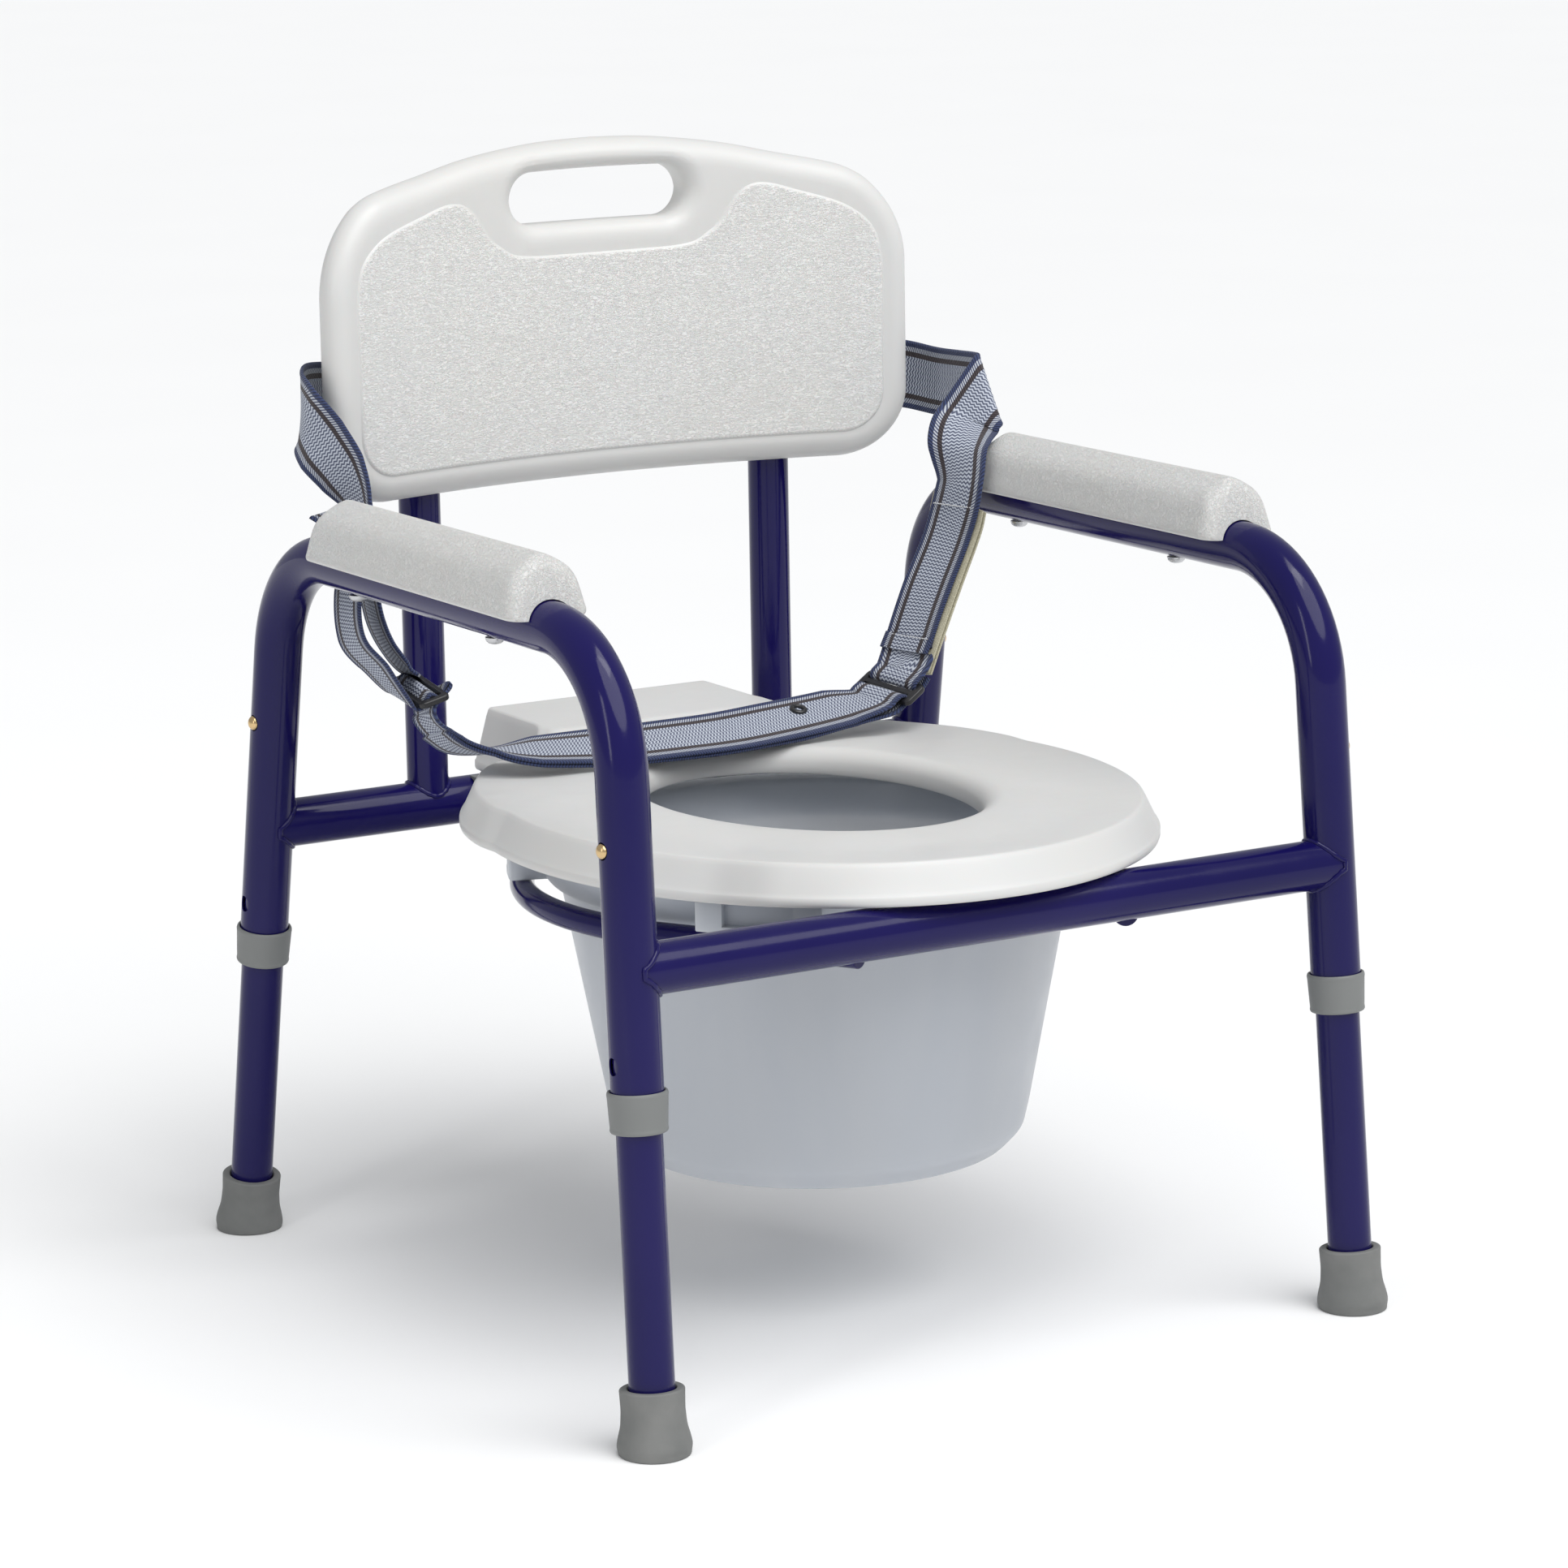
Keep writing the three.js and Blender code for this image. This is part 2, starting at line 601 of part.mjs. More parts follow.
function seatClip(side) {
  const x = side * CLIP_X;
  const inner = TUBE_RADIUS + 0.5;
  const outer = TUBE_RADIUS + 3.8;
  // profile in [forward, up], measured from the crossbar's centre
  const top = RING_BOTTOM - GAP - BAR_HEIGHT;
  const outline = [
    ...arcPoints(0, 0, outer, 25, -150, 9),
    ...arcPoints(0, 0, inner, -150, 75, 11),
    [inner * Math.cos(Math.PI / 180 * 75), top], [outer * Math.cos(Math.PI / 180 * 25), top],
  ];
  const geometry = slab(outline, -CLIP_HALF_WIDTH, CLIP_HALF_WIDTH);
  const basis = new THREE.Matrix4().makeBasis(vec(0, -1, 0), vec(0, 0, 1), vec(-1, 0, 0));
  return geometry.applyMatrix4(basis).translate(x, REAR_BAR_Y, BAR_HEIGHT);
}

for (const side of [-1, 1]) {
  addPiece(`seat_clip_${sideName(side)}`, 'grey_plastic', seatClip(side));
}

// ---------------------------------------------------------------- pail
// A tapered bucket whose flared collar hangs through the hoops on lugs that rest on the rods.
const LUG_RADIUS = 158;
const LUG_SPANS = [[20, 40], [140, 160], [217, 240], [300, 323]];
const LUG_BOTTOM = HOOP_HEIGHT + HOOP_ROD + GAP;

function arcWall(inner, outer, from, to, steps) {
  const outside = arcPoints(0, PAIL_CENTRE_Y, outer, from, to, steps);
  const inside = arcPoints(0, PAIL_CENTRE_Y, inner, to, from, steps);
  return [...outside, ...inside];
}

function pail() {
  const profile = [
    [0, PAIL_BOTTOM], [PAIL_FOOT - 22, PAIL_BOTTOM + 0.4], [PAIL_FOOT - 7, PAIL_BOTTOM + 7],
    [PAIL_FOOT, PAIL_BOTTOM + 22], [PAIL_MOUTH, PAIL_SHOULDER - 1.5], [PAIL_COLLAR, PAIL_SHOULDER],
    [PAIL_RIM, PAIL_TOP], [PAIL_MOUTH, PAIL_TOP], [PAIL_MOUTH - PAIL_WALL, PAIL_SHOULDER],
    [PAIL_FOOT - PAIL_WALL, PAIL_BOTTOM + 22.5], [PAIL_FOOT - 9, PAIL_BOTTOM + 9],
    [PAIL_FOOT - 23, PAIL_BOTTOM + 3], [0, PAIL_BOTTOM + 2.6],
  ];
  let solid = solidOf(turned(profile, 36).translate(0, PAIL_CENTRE_Y, 0));
  for (const [from, to] of LUG_SPANS) {
    const lug = slab(arcWall(PAIL_MOUTH + 3, LUG_RADIUS, from, to, 3), LUG_BOTTOM, PAIL_TOP);
    solid = solid.add(solidOf(lug));
  }
  return geometryOf(solid);
}

addPiece('pail', 'pail_plastic', pail());

// ---------------------------------------------------------------- safety strap
// A ribbon through stations of [x, y, z] with the direction of its width at each.
function ribbon(stations, width = STRAP_WIDTH, thickness = STRAP_THICKNESS, steps = 2) {
  const centres = new THREE.CatmullRomCurve3(stations.map((s) => vec(...s.at)), false, 'centripetal');
  const count = (stations.length - 1) * steps;
  const positions = [];
  const index = [];
  for (let i = 0; i <= count; i += 1) {
    const t = i / count;
    const centre = centres.getPoint(t);
    const along = centres.getTangent(t);
    const s = Math.min(Math.floor(t * (stations.length - 1)), stations.length - 2);
    const blend = t * (stations.length - 1) - s;
    const across = vec(...stations[s].across).normalize()
      .lerp(vec(...stations[s + 1].across).normalize(), blend);
    across.addScaledVector(along, -across.dot(along)).normalize();
    const normal = new THREE.Vector3().crossVectors(along, across);
    for (const [a, n] of [[-1, -1], [1, -1], [1, 1], [-1, 1]]) {
      const corner = centre.clone().addScaledVector(across, a * width / 2)
        .addScaledVector(normal, n * thickness / 2);
      positions.push(corner.x, corner.y, corner.z);
    }
    if (i > 0) {
      for (let k = 0; k < 4; k += 1) {
        const a = 4 * (i - 1) + k;
        const b = 4 * (i - 1) + (k + 1) % 4;
        index.push(a, b, b + 4, a, b + 4, a + 4);
      }
    }
  }
  const last = 4 * count;
  index.push(0, 2, 1, 0, 3, 2, last, last + 1, last + 2, last, last + 2, last + 3);
  const geometry = new THREE.BufferGeometry();
  geometry.setAttribute('position', new THREE.Float32BufferAttribute(positions, 3));
  geometry.setIndex(index);
  const solid = solidOf(geometry);
  return geometryOf(solid);
}

const UP = [0, 0, 1];

// Behind the panel and round its edges: out to the fold on the right, down to the arm on the left.
const FOLD = [-0.1, 0.58, 0.81];     // along the fold above the right arm
const STRAP_BACK = [
  { at: [205, 117, 434], across: FOLD },
  { at: [207, 140, 433], across: [-0.05, 0.2, 0.98] },
  { at: [206, 165, 434], across: [0, 0.1, 1] },
  { at: [197, 187, 437], across: UP },
  { at: [176, 199, 439], across: UP },
  { at: [107.6, 203.5, 440], across: UP },
  { at: [0, 203.5, 442], across: UP },
  { at: [-107.6, 203.5, 445], across: UP },
  { at: [-152, 192, 449], across: UP },
  { at: [-178, 175, 453.5], across: UP },
];
const STRAP_LEFT = [
  { at: [-182.5, 170.5, 454.5], across: [0, 0.1, 1] },
  { at: [-187, 155, 452], across: [0, 0.3, 0.95] },
  { at: [-187, 137, 438], across: [0.12, 0.6, 0.8] },
  { at: [-178, 124, 413], across: [0.3, 0.85, 0.4] },
  { at: [-178, 119, 386], across: [0.2, 0.97, 0.1] },
  { at: [-186, 118, 361], across: [0.1, 0.98, -0.15] },
  { at: [-183, 115, 336], across: [0.1, 0.93, -0.35] },
  { at: [-173.5, 112, 322.5], across: [0.17, 0.91, -0.36] },
  { at: [-164, 110.5, 315.5], across: [0.12, 0.96, -0.2] },
];
const STRAP_TAIL = [
  { at: [-156, 121, 327], across: [0.2, 0.97, -0.1] },
  { at: [-163, 127, 340], across: [0.2, 0.97, -0.1] },
  { at: [-166, 130, 360], across: [0.2, 0.97, 0.0] },
  { at: [-158, 147, 380], across: [0.2, 0.97, 0.1] },
  { at: [-170, 166, 396], across: [0.5, 0.8, 0.3] },
];
const STRAP_LAP = [
  { at: [-148, 105, 294.5], across: [0.18, 0.93, -0.3] },
  { at: [-143, 104, 285.5], across: [0.17, 0.92, -0.34] },
  { at: [-134, 101, 278.5], across: [0.15, 0.93, -0.3] },
  { at: [-116, 93, 274], across: [0.08, 0.97, 0.05] },
  { at: [-94, 84, 272.6], across: [0, 0.94, 0.33] },
  { at: [-50, 75, 272.3], across: [0, 0.94, 0.33] },
  { at: [0, 72, 272.3], across: [0, 0.94, 0.33] },
  { at: [48, 75, 273.5], across: [0, 0.94, 0.33] },
  { at: [86, 77, 276.5], across: [0, 0.96, 0.3] },
  { at: [105, 77, 279.3], across: [0, 0.97, 0.25] },
];
const STRAP_RIGHT = [
  { at: [127, 79, 292.5], across: [0, 0.99, 0.1] },
  { at: [132, 83, 301], across: [-0.1, 0.99, 0.05] },
  { at: [150, 89, 334.5], across: [-0.15, 0.98, 0.05] },
  { at: [165, 90, 364.5], across: [-0.15, 0.98, 0.0] },
  { at: [170, 86, 390.5], across: [-0.12, 0.99, 0.0] },
  { at: [171, 87, 409.5], across: [-0.2, 0.97, 0.1] },
  { at: [175, 94, 425.5], across: [-0.15, 0.9, 0.35] },
  { at: [186, 104, 432], across: [-0.2, 0.75, 0.6] },
  { at: [201, 113, 435], across: FOLD },
];

addPiece('strap_back', 'webbing', ribbon(STRAP_BACK));
addPiece('strap_left', 'webbing', ribbon(STRAP_LEFT));
addPiece('strap_tail', 'webbing', ribbon(STRAP_TAIL));
addPiece('strap_lap', 'webbing', ribbon(STRAP_LAP, STRAP_WIDTH, 3));
addPiece('strap_right', 'webbing', ribbon(STRAP_RIGHT));

// Hook-and-loop strips behind the right strap, one against the other.
function besideRight(offset) {
  return STRAP_RIGHT.slice(1, 4).map(({ at, across }) => {
    const along = vec(37, 7, 62).normalize();
    const normal = new THREE.Vector3().crossVectors(along, vec(...across)).normalize();
    const point = vec(...at).addScaledVector(normal, offset);
    return { at: [point.x, point.y, point.z], across };
  });
}

addPiece('loop_strip', 'hook_tape', ribbon(besideRight(-2.3), 42, 1.6));
addPiece('hook_strip', 'hook_tape', ribbon(besideRight(-4.5), 42, 1.6));

// Flat plastic buckle with two slots and a bar between them.
function buckle(centre, along, across, length, width) {
  const slotReach = width / 2 - 4;
  const slot = (x) => solidOf(box([x - 2.2, -slotReach, -3], [x + 2.2, slotReach, 3]));
  const outline = [
    [-length / 2, -width / 2 + 2], [-length / 2 + 2, -width / 2], [length / 2 - 2, -width / 2],
    [length / 2, -width / 2 + 2], [length / 2, width / 2 - 2], [length / 2 - 2, width / 2],
    [-length / 2 + 2, width / 2], [-length / 2, width / 2 - 2],
  ];
  const plate = solidOf(slab(outline, -1.6, 1.6));
  const geometry = geometryOf(plate.subtract(slot(-length / 5)).subtract(slot(length / 5)));
  const x = vec(...along).normalize();
  const y = vec(...across);
  y.addScaledVector(x, -y.dot(x)).normalize();
  const z = new THREE.Vector3().crossVectors(x, y);
  const basis = new THREE.Matrix4().makeBasis(x, y, z);
  return geometry.applyMatrix4(basis).translate(...centre);
}

const ADJUSTER_ALONG = [9.6, -0.8, 2.5];
const BUCKLE_ALONG = [10, 1, 6.5];
const adjuster = buckle([-150, 109, 308.5], ADJUSTER_ALONG, [0.05, 0.97, 0.12], 17, 46);
const ladderLock = buckle([117.5, 77, 284.5], BUCKLE_ALONG, [0, 0.98, 0.15], 15, 46);
addPiece('strap_adjuster', 'black_plastic', adjuster);
addPiece('strap_buckle', 'black_plastic', ladderLock);

// Eyelet through the lap strap.
function eyelet() {
  const profile = [[2.2, 0], [4.6, 0], [4.2, 1], [2.4, 1]];
  return turned(profile, 10).rotateX(0.34).translate(62, 79.5, 278.4);
}

addPiece('strap_eyelet', 'black_plastic', eyelet());

export default chair;
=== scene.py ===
"""Commode chair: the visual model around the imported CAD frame, in millimetres until a mesh is made."""
import math
from contextlib import contextmanager

import bmesh
import bpy
import numpy as np
from mathutils import Matrix, Vector
from mathutils.geometry import delaunay_2d_cdt


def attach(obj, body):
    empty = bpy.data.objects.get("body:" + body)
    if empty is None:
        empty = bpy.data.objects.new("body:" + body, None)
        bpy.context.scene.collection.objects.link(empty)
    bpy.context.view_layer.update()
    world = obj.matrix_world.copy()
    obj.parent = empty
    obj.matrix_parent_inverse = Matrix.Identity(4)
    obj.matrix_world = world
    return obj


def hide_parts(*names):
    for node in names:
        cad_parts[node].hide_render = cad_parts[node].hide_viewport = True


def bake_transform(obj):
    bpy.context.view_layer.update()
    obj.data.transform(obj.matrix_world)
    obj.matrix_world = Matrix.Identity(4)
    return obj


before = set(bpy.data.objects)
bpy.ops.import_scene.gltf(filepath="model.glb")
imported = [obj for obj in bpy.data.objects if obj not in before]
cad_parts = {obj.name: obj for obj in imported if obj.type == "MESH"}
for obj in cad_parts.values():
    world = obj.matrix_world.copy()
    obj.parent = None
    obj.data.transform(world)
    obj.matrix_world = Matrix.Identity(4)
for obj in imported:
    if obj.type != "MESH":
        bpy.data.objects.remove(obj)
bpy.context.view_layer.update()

MM = 0.001
X, Y, Z = np.eye(3)

# ---------------- camera
CAMERA_TARGET = (-6.87, -20.1, 262.9)
CAMERA_AZIMUTH = math.radians(-30.66)
CAMERA_ELEVATION = math.radians(11.816)
CAMERA_ROLL = math.radians(-0.957)
CAMERA_DISTANCE = 2699.7
CAMERA_LENS = 120.9


def make_camera():
    place = Matrix.Rotation(CAMERA_AZIMUTH, 4, "Z") @ Matrix.Rotation(math.pi / 2 - CAMERA_ELEVATION, 4, "X")
    place = place @ Matrix.Rotation(CAMERA_ROLL, 4, "Z")
    place.translation = (Vector(CAMERA_TARGET) + place.col[2].xyz * CAMERA_DISTANCE) * MM
    data = bpy.data.cameras.new("camera")
    data.lens = CAMERA_LENS
    data.sensor_width = 36
    data.clip_start, data.clip_end = 0.05, 60
    camera = bpy.data.objects.new("camera", data)
    camera.matrix_world = place
    bpy.context.scene.collection.objects.link(camera)
    bpy.context.scene.camera = camera


make_camera()


# ---------------- materials
class Shader:
    """A Principled material with short ways to add the nodes that vary it."""

    def __init__(self, name, color, roughness, **fixed):
        self.material = bpy.data.materials.new(name)
        self.material.use_nodes = True
        self.material.diffuse_color = (*color, 1)
        self.tree = self.material.node_tree
        self.inputs = self.tree.nodes["Principled BSDF"].inputs
        for socket, value in dict(fixed, Base_Color=(*color, 1), Roughness=roughness).items():
            self.inputs[socket.replace("_", " ")].default_value = value

    def node(self, kind, feeds=(), **settings):
        """Adds a node and returns its outputs. feeds are values or other outputs, by socket."""
        made = self.tree.nodes.new(kind)
        for key, value in settings.items():
            setattr(made, key, value)
        for socket, value in dict(feeds).items():
            if hasattr(value, "node"):
                self.tree.links.new(value, made.inputs[socket])
            else:
                made.inputs[socket].default_value = value
        return made.outputs

    def math(self, operation, *values):
        return self.node("ShaderNodeMath", enumerate(values), operation=operation)[0]

    def place(self, scale=(1, 1, 1)):
        where = self.node("ShaderNodeTexCoord")["Object"]
        return self.node("ShaderNodeMapping", {"Vector": where, "Scale": scale})["Vector"]

    def noise(self, scale, detail=2.0, roughness=0.5, distortion=0.0, stretch=(1, 1, 1)):
        feeds = {"Vector": self.place(stretch), "Scale": scale, "Detail": detail, "Roughness": roughness,
                 "Distortion": distortion}
        return self.node("ShaderNodeTexNoise", feeds)["Fac"]

    def voronoi(self, scale):
        return self.node("ShaderNodeTexVoronoi", {"Vector": self.place(), "Scale": scale})["Distance"]

    def span(self, value, low, high, to_low=0.0, to_high=1.0):
        feeds = {"Value": value, "From Min": low, "From Max": high, "To Min": to_low, "To Max": to_high}
        return self.node("ShaderNodeMapRange", feeds, clamp=True)["Result"]

    def mix(self, factor, a, b):
        a, b = (tone if hasattr(tone, "node") else (*tone, 1) for tone in (a, b))
        return self.node("ShaderNodeMix", {0: factor, 6: a, 7: b}, data_type="RGBA")[2]

    def tint(self, factor, a, b):
        self.tree.links.new(self.mix(factor, a, b), self.inputs["Base Color"])

    def rough(self, noise, low, high):
        self.tree.links.new(self.span(noise, 0.3, 0.7, low, high), self.inputs["Roughness"])

    def bump(self, height, distance, strength, after=None):
        feeds = {"Height": height, "Distance": distance * MM, "Strength": strength}
        if after is not None:
            feeds["Normal"] = after
        normal = self.node("ShaderNodeBump", feeds)["Normal"]
        self.tree.links.new(normal, self.inputs["Normal"])
        return normal


def blue_paint():
    s = Shader("blue_paint", (0.007, 0.005, 0.072), 0.16, Coat_Weight=0.08, Coat_Roughness=0.05,
               Specular_IOR_Level=0.22)
    s.tint(s.span(s.noise(7, 3), 0.3, 0.7), (0.005, 0.0035, 0.064), (0.009, 0.006, 0.08))
    s.rough(s.noise(40, 4), 0.1, 0.2)
    fine = s.bump(s.noise(420, 2), 0.05, 0.35)
    s.bump(s.span(s.noise(55, 1), 0.68, 0.74), 0.05, 0.3, fine)
    return s


def white_base(name, color, roughness):
    s = Shader(name, color, roughness, Subsurface_Weight=0.06, Subsurface_Scale=0.004)
    warm = tuple(c * k for c, k in zip(color, (1.0, 0.992, 0.975)))
    s.tint(s.span(s.noise(9, 4), 0.35, 0.7), color, warm)
    s.rough(s.noise(60, 5), roughness - 0.06, roughness + 0.06)
    return s


def white_smooth():
    s = white_base("white_plastic_smooth", (0.625, 0.625, 0.618), 0.42)
    fine = s.bump(s.noise(900, 2), 0.02, 0.35)
    s.bump(s.span(s.voronoi(70), 0.0, 0.025, 1, 0), 0.06, 0.25, fine)
    return s


def white_grain(name, color, stretch, depth):
    """Moulded leather grain: short crinkled furrows, drawn out along stretch."""
    s = white_base(name, color, 0.5)
    furrow = s.math("ABSOLUTE", s.math("SUBTRACT", s.noise(1.0, 3, 0.55, 1.2, stretch), 0.5))
    fine = s.bump(s.noise(900, 2), 0.02, 0.3)
    s.bump(s.span(furrow, 0.0, 0.075), depth, 0.75, fine)
    return s


def pail_plastic():
    s = Shader("pail_plastic", (0.47, 0.495, 0.54), 0.36, Subsurface_Weight=0.5, Subsurface_Scale=0.03,
               Subsurface_Radius=(1, 1, 1))
    streak = s.noise(1.0, 3, 0.5, 0.3, (22, 22, 1.5))
    s.tint(s.span(streak, 0.35, 0.7), (0.475, 0.50, 0.54), (0.445, 0.475, 0.525))
    s.rough(s.noise(35, 4), 0.3, 0.42)
    fine = s.bump(s.noise(700, 2), 0.015, 0.3)
    s.bump(s.noise(14, 2), 0.3, 0.12, fine)
    return s


def grey_plastic():
    s = Shader("grey_plastic", (0.18, 0.187, 0.184), 0.5)
    s.tint(s.noise(45, 4), (0.165, 0.172, 0.169), (0.2, 0.207, 0.204))
    s.rough(s.noise(90, 4), 0.42, 0.6)
    s.bump(s.noise(1100, 3), 0.03, 0.4)
    return s


def grey_rubber():
    s = Shader("grey_rubber", (0.165, 0.17, 0.166), 0.7)
    s.tint(s.span(s.noise(28, 6), 0.45, 0.75), (0.15, 0.155, 0.151), (0.205, 0.206, 0.2))
    s.rough(s.noise(120, 4), 0.6, 0.8)
    s.bump(s.noise(800, 4), 0.05, 0.5)
    return s


def metal(name, color, roughness, stretch):
    s = Shader(name, color, roughness, Metallic=1.0)
    brushed = s.noise(1.0, 4, stretch=stretch)
    s.tint(s.noise(200, 3), color, tuple(c * 0.88 for c in color))
    s.rough(brushed, roughness - 0.07, roughness + 0.1)
    s.bump(brushed, 0.01, 0.3)
    return s


def black_plastic():
    s = Shader("black_plastic", (0.012, 0.012, 0.014), 0.34)
    s.tint(s.noise(80, 3), (0.01, 0.01, 0.012), (0.02, 0.02, 0.023))
    s.rough(s.noise(150, 4), 0.26, 0.42)
    s.bump(s.noise(900, 2), 0.02, 0.3)
    return s


WEB_TEXTURE = 40.0    # mm of webbing to one unit of its map
BROWN_FROM, PICOT_FROM, NAVY_FROM = 10.4, 13.2, 15.8    # mm from the middle of the webbing


def webbing():
    """Herringbone weave between brown stripes, a pale picot line, and navy corded edges."""
    s = Shader("webbing", (0.3, 0.33, 0.4), 0.75, Sheen_Weight=0.15, Sheen_Roughness=0.5)
    uv = s.node("ShaderNodeUVMap", uv_map="web")["UV"]
    split = s.node("ShaderNodeSeparateXYZ", {0: uv})
    across = s.math("MULTIPLY", s.math("SUBTRACT", split["X"], 0.5), WEB_TEXTURE)
    along = s.math("MULTIPLY", split["Y"], WEB_TEXTURE)
    reach = s.math("ABSOLUTE", across)

    def wave_of(turn):
        wave = s.math("SINE", s.math("MULTIPLY", turn, 2 * math.pi))
        return s.math("MULTIPLY_ADD", wave, 0.5, 0.5)

    tooth = s.math("DIVIDE", s.math("PINGPONG", s.math("ADD", across, 40.0), 1.55), 1.55)
    weave_wave = wave_of(s.math("ADD", s.math("DIVIDE", along, 1.9), s.math("MULTIPLY", tooth, 0.5)))
    thread = s.span(s.noise(900, 2), 0.3, 0.7)
    weave = s.mix(s.span(weave_wave, 0.2, 0.75), (0.05, 0.062, 0.115), (0.56, 0.60, 0.68))
    weave = s.mix(s.math("MULTIPLY", thread, 0.25), weave, (0.2, 0.23, 0.32))
    cord = wave_of(s.math("ADD", s.math("DIVIDE", along, 1.5), s.math("MULTIPLY", reach, 0.45)))
    navy = s.mix(cord, (0.006, 0.01, 0.04), (0.03, 0.05, 0.145))
    picot = s.mix(s.span(cord, 0.25, 0.6), (0.05, 0.06, 0.13), (0.50, 0.53, 0.58))
    brown = s.mix(s.math("MULTIPLY", cord, 0.8), (0.014, 0.009, 0.012), (0.06, 0.042, 0.048))
    outside = s.math("GREATER_THAN", reach, BROWN_FROM)
    shade = s.mix(outside, weave, brown)
    shade = s.mix(s.math("GREATER_THAN", reach, PICOT_FROM), shade, picot)
    s.tint(s.math("GREATER_THAN", reach, NAVY_FROM), shade, navy)
    height = s.math("ADD", s.math("MULTIPLY", weave_wave, s.math("SUBTRACT", 1.0, outside)),
                    s.math("MULTIPLY", cord, outside))
    s.bump(height, 0.45, 0.8, s.bump(thread, 0.08, 0.4))
    return s


def hook_tape():
    s = Shader("hook_tape", (0.55, 0.52, 0.38), 0.85, Sheen_Weight=0.2)
    tuft = s.voronoi(1500)
    s.tint(s.span(tuft, 0.1, 0.6), (0.62, 0.59, 0.45), (0.44, 0.41, 0.29))
    s.bump(tuft, 0.25, 0.7)
    return s


def stitch_thread():
    s = Shader("stitch_thread", (0.6, 0.61, 0.62), 0.7)
    s.tint(s.noise(2500, 2), (0.5, 0.51, 0.53), (0.7, 0.7, 0.7))
    s.bump(s.noise(3000, 2), 0.05, 0.5)
    return s


SHADERS = {
    "blue_paint": blue_paint(),
    "white_plastic": white_smooth(),
    # The panel's grain look is a brighter white (0.77) than the white plastic (0.625): painted light for the
    # light falling on the front of the backrest.
    "panel_grain_and_painted_light": white_grain("white_plastic_panel_grain", (0.77, 0.77, 0.76), (380, 380, 1000), 0.3),
    "pad_grain": white_grain("white_plastic_pad_grain", (0.63, 0.63, 0.62), (560, 560, 560), 0.26),
    "pail_plastic": pail_plastic(),
    "grey_plastic": grey_plastic(),
    "grey_rubber": grey_rubber(),
    "brass": metal("brass", (0.70, 0.50, 0.26), 0.22, (300, 300, 300)),
    "steel": metal("steel", (0.58, 0.585, 0.6), 0.3, (200, 200, 900)),
    "webbing": webbing(),
    "hook_tape": hook_tape(),
    "black_plastic": black_plastic(),
    "stitch_thread": stitch_thread(),
}
LOOKS = {name: shader.material for name, shader in SHADERS.items()}


# ---------------- mesh helpers
def unit(v):
    v = np.asarray(v, float)
    return v / np.linalg.norm(v)


def new_object(name, verts, faces, look, angle=38):
    """A mesh object from points in millimetres, with edges sharper than angle left sharp."""
    mesh = bpy.data.meshes.new(name)
    mesh.from_pydata((np.asarray(verts, float) * MM).tolist(), [], [list(f) for f in faces])
    mesh.materials.append(LOOKS[look])
    mesh.validate()
    obj = bpy.data.objects.new(name, mesh)
    bpy.context.scene.collection.objects.link(obj)
    return soften(obj, angle)


def soften(obj, angle=38):
    mesh = obj.data
    mesh.polygons.foreach_set("use_smooth", [True] * len(mesh.polygons))
    mesh.set_sharp_from_angle(angle=math.radians(angle))
    mesh.update()
    return obj


@contextmanager
def editing(obj):
    """Lends out an object's mesh as a bmesh, and writes it back."""
    work = bmesh.new()
    work.from_mesh(obj.data)
    yield work
    work.to_mesh(obj.data)
    work.free()


def solid(name, verts, faces, look, angle=38):
    """A closed body with every face pointing out."""
    obj = new_object(name, verts, faces, look, angle)
    with editing(obj) as work:
        bmesh.ops.recalc_face_normals(work, faces=work.faces)
    return obj


def bake(obj):
    """Replaces an object's mesh with its modified one."""
    graph = bpy.context.evaluated_depsgraph_get()
    mesh = bpy.data.meshes.new_from_object(obj.evaluated_get(graph))
    obj.modifiers.clear()
    old, obj.data = obj.data, mesh
    bpy.data.meshes.remove(old)
    return soften(obj)


def carve(obj, *cutters, operation="DIFFERENCE"):
    for cutter in cutters:
        modifier = obj.modifiers.new("cut", "BOOLEAN")
        modifier.operation = operation
        modifier.solver = "EXACT"
        modifier.object = cutter
    bake(obj)
    for cutter in cutters:
        bpy.data.objects.remove(cutter)


def bevel(obj, width, segments, angle):
    modifier = obj.modifiers.new("bevel", "BEVEL")
    modifier.width = width * MM
    modifier.segments = segments
    modifier.limit_method = "ANGLE"
    modifier.angle_limit = math.radians(angle)
    modifier.harden_normals = False
    bake(obj)


def finish(obj, body, slot, *stands_for):
    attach(obj, body)
    if stands_for:
        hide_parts(*stands_for)


def swept_faces(rows, columns, closed=False):
    """Faces between rings of points that follow each other: joined end to end, or capped."""
    faces = []
    for i in range(rows if closed else rows - 1):
        for j in range(columns):
            k, n = (j + 1) % columns, (i + 1) % rows
            faces.append((i * columns + j, i * columns + k, n * columns + k, n * columns + j))
    if not closed:
        faces += [tuple(range(columns)), tuple(reversed(range((rows - 1) * columns, rows * columns)))]
    return faces


def square_to(axis, guess, other_guess):
    """Two directions square to an axis and to each other, the first of them near a guess."""
    if abs(guess.dot(axis)) >= 0.9:
        guess = other_guess
    side = unit(guess - guess.dot(axis) * axis)
    return side, np.cross(axis, side)


def circle(centre, radius, side, other, count):
    return [centre + radius * (math.cos(t) * side + math.sin(t) * other)
            for t in np.arange(count) * (2 * math.pi / count)]


def directions_along(points, closed=False):
    """The direction of a line at each of its points."""
    before, after = np.roll(points, 1, axis=0), np.roll(points, -1, axis=0)
    if not closed:
        before[0], after[-1] = points[0], points[-1]
    return [unit(step) for step in after - before]


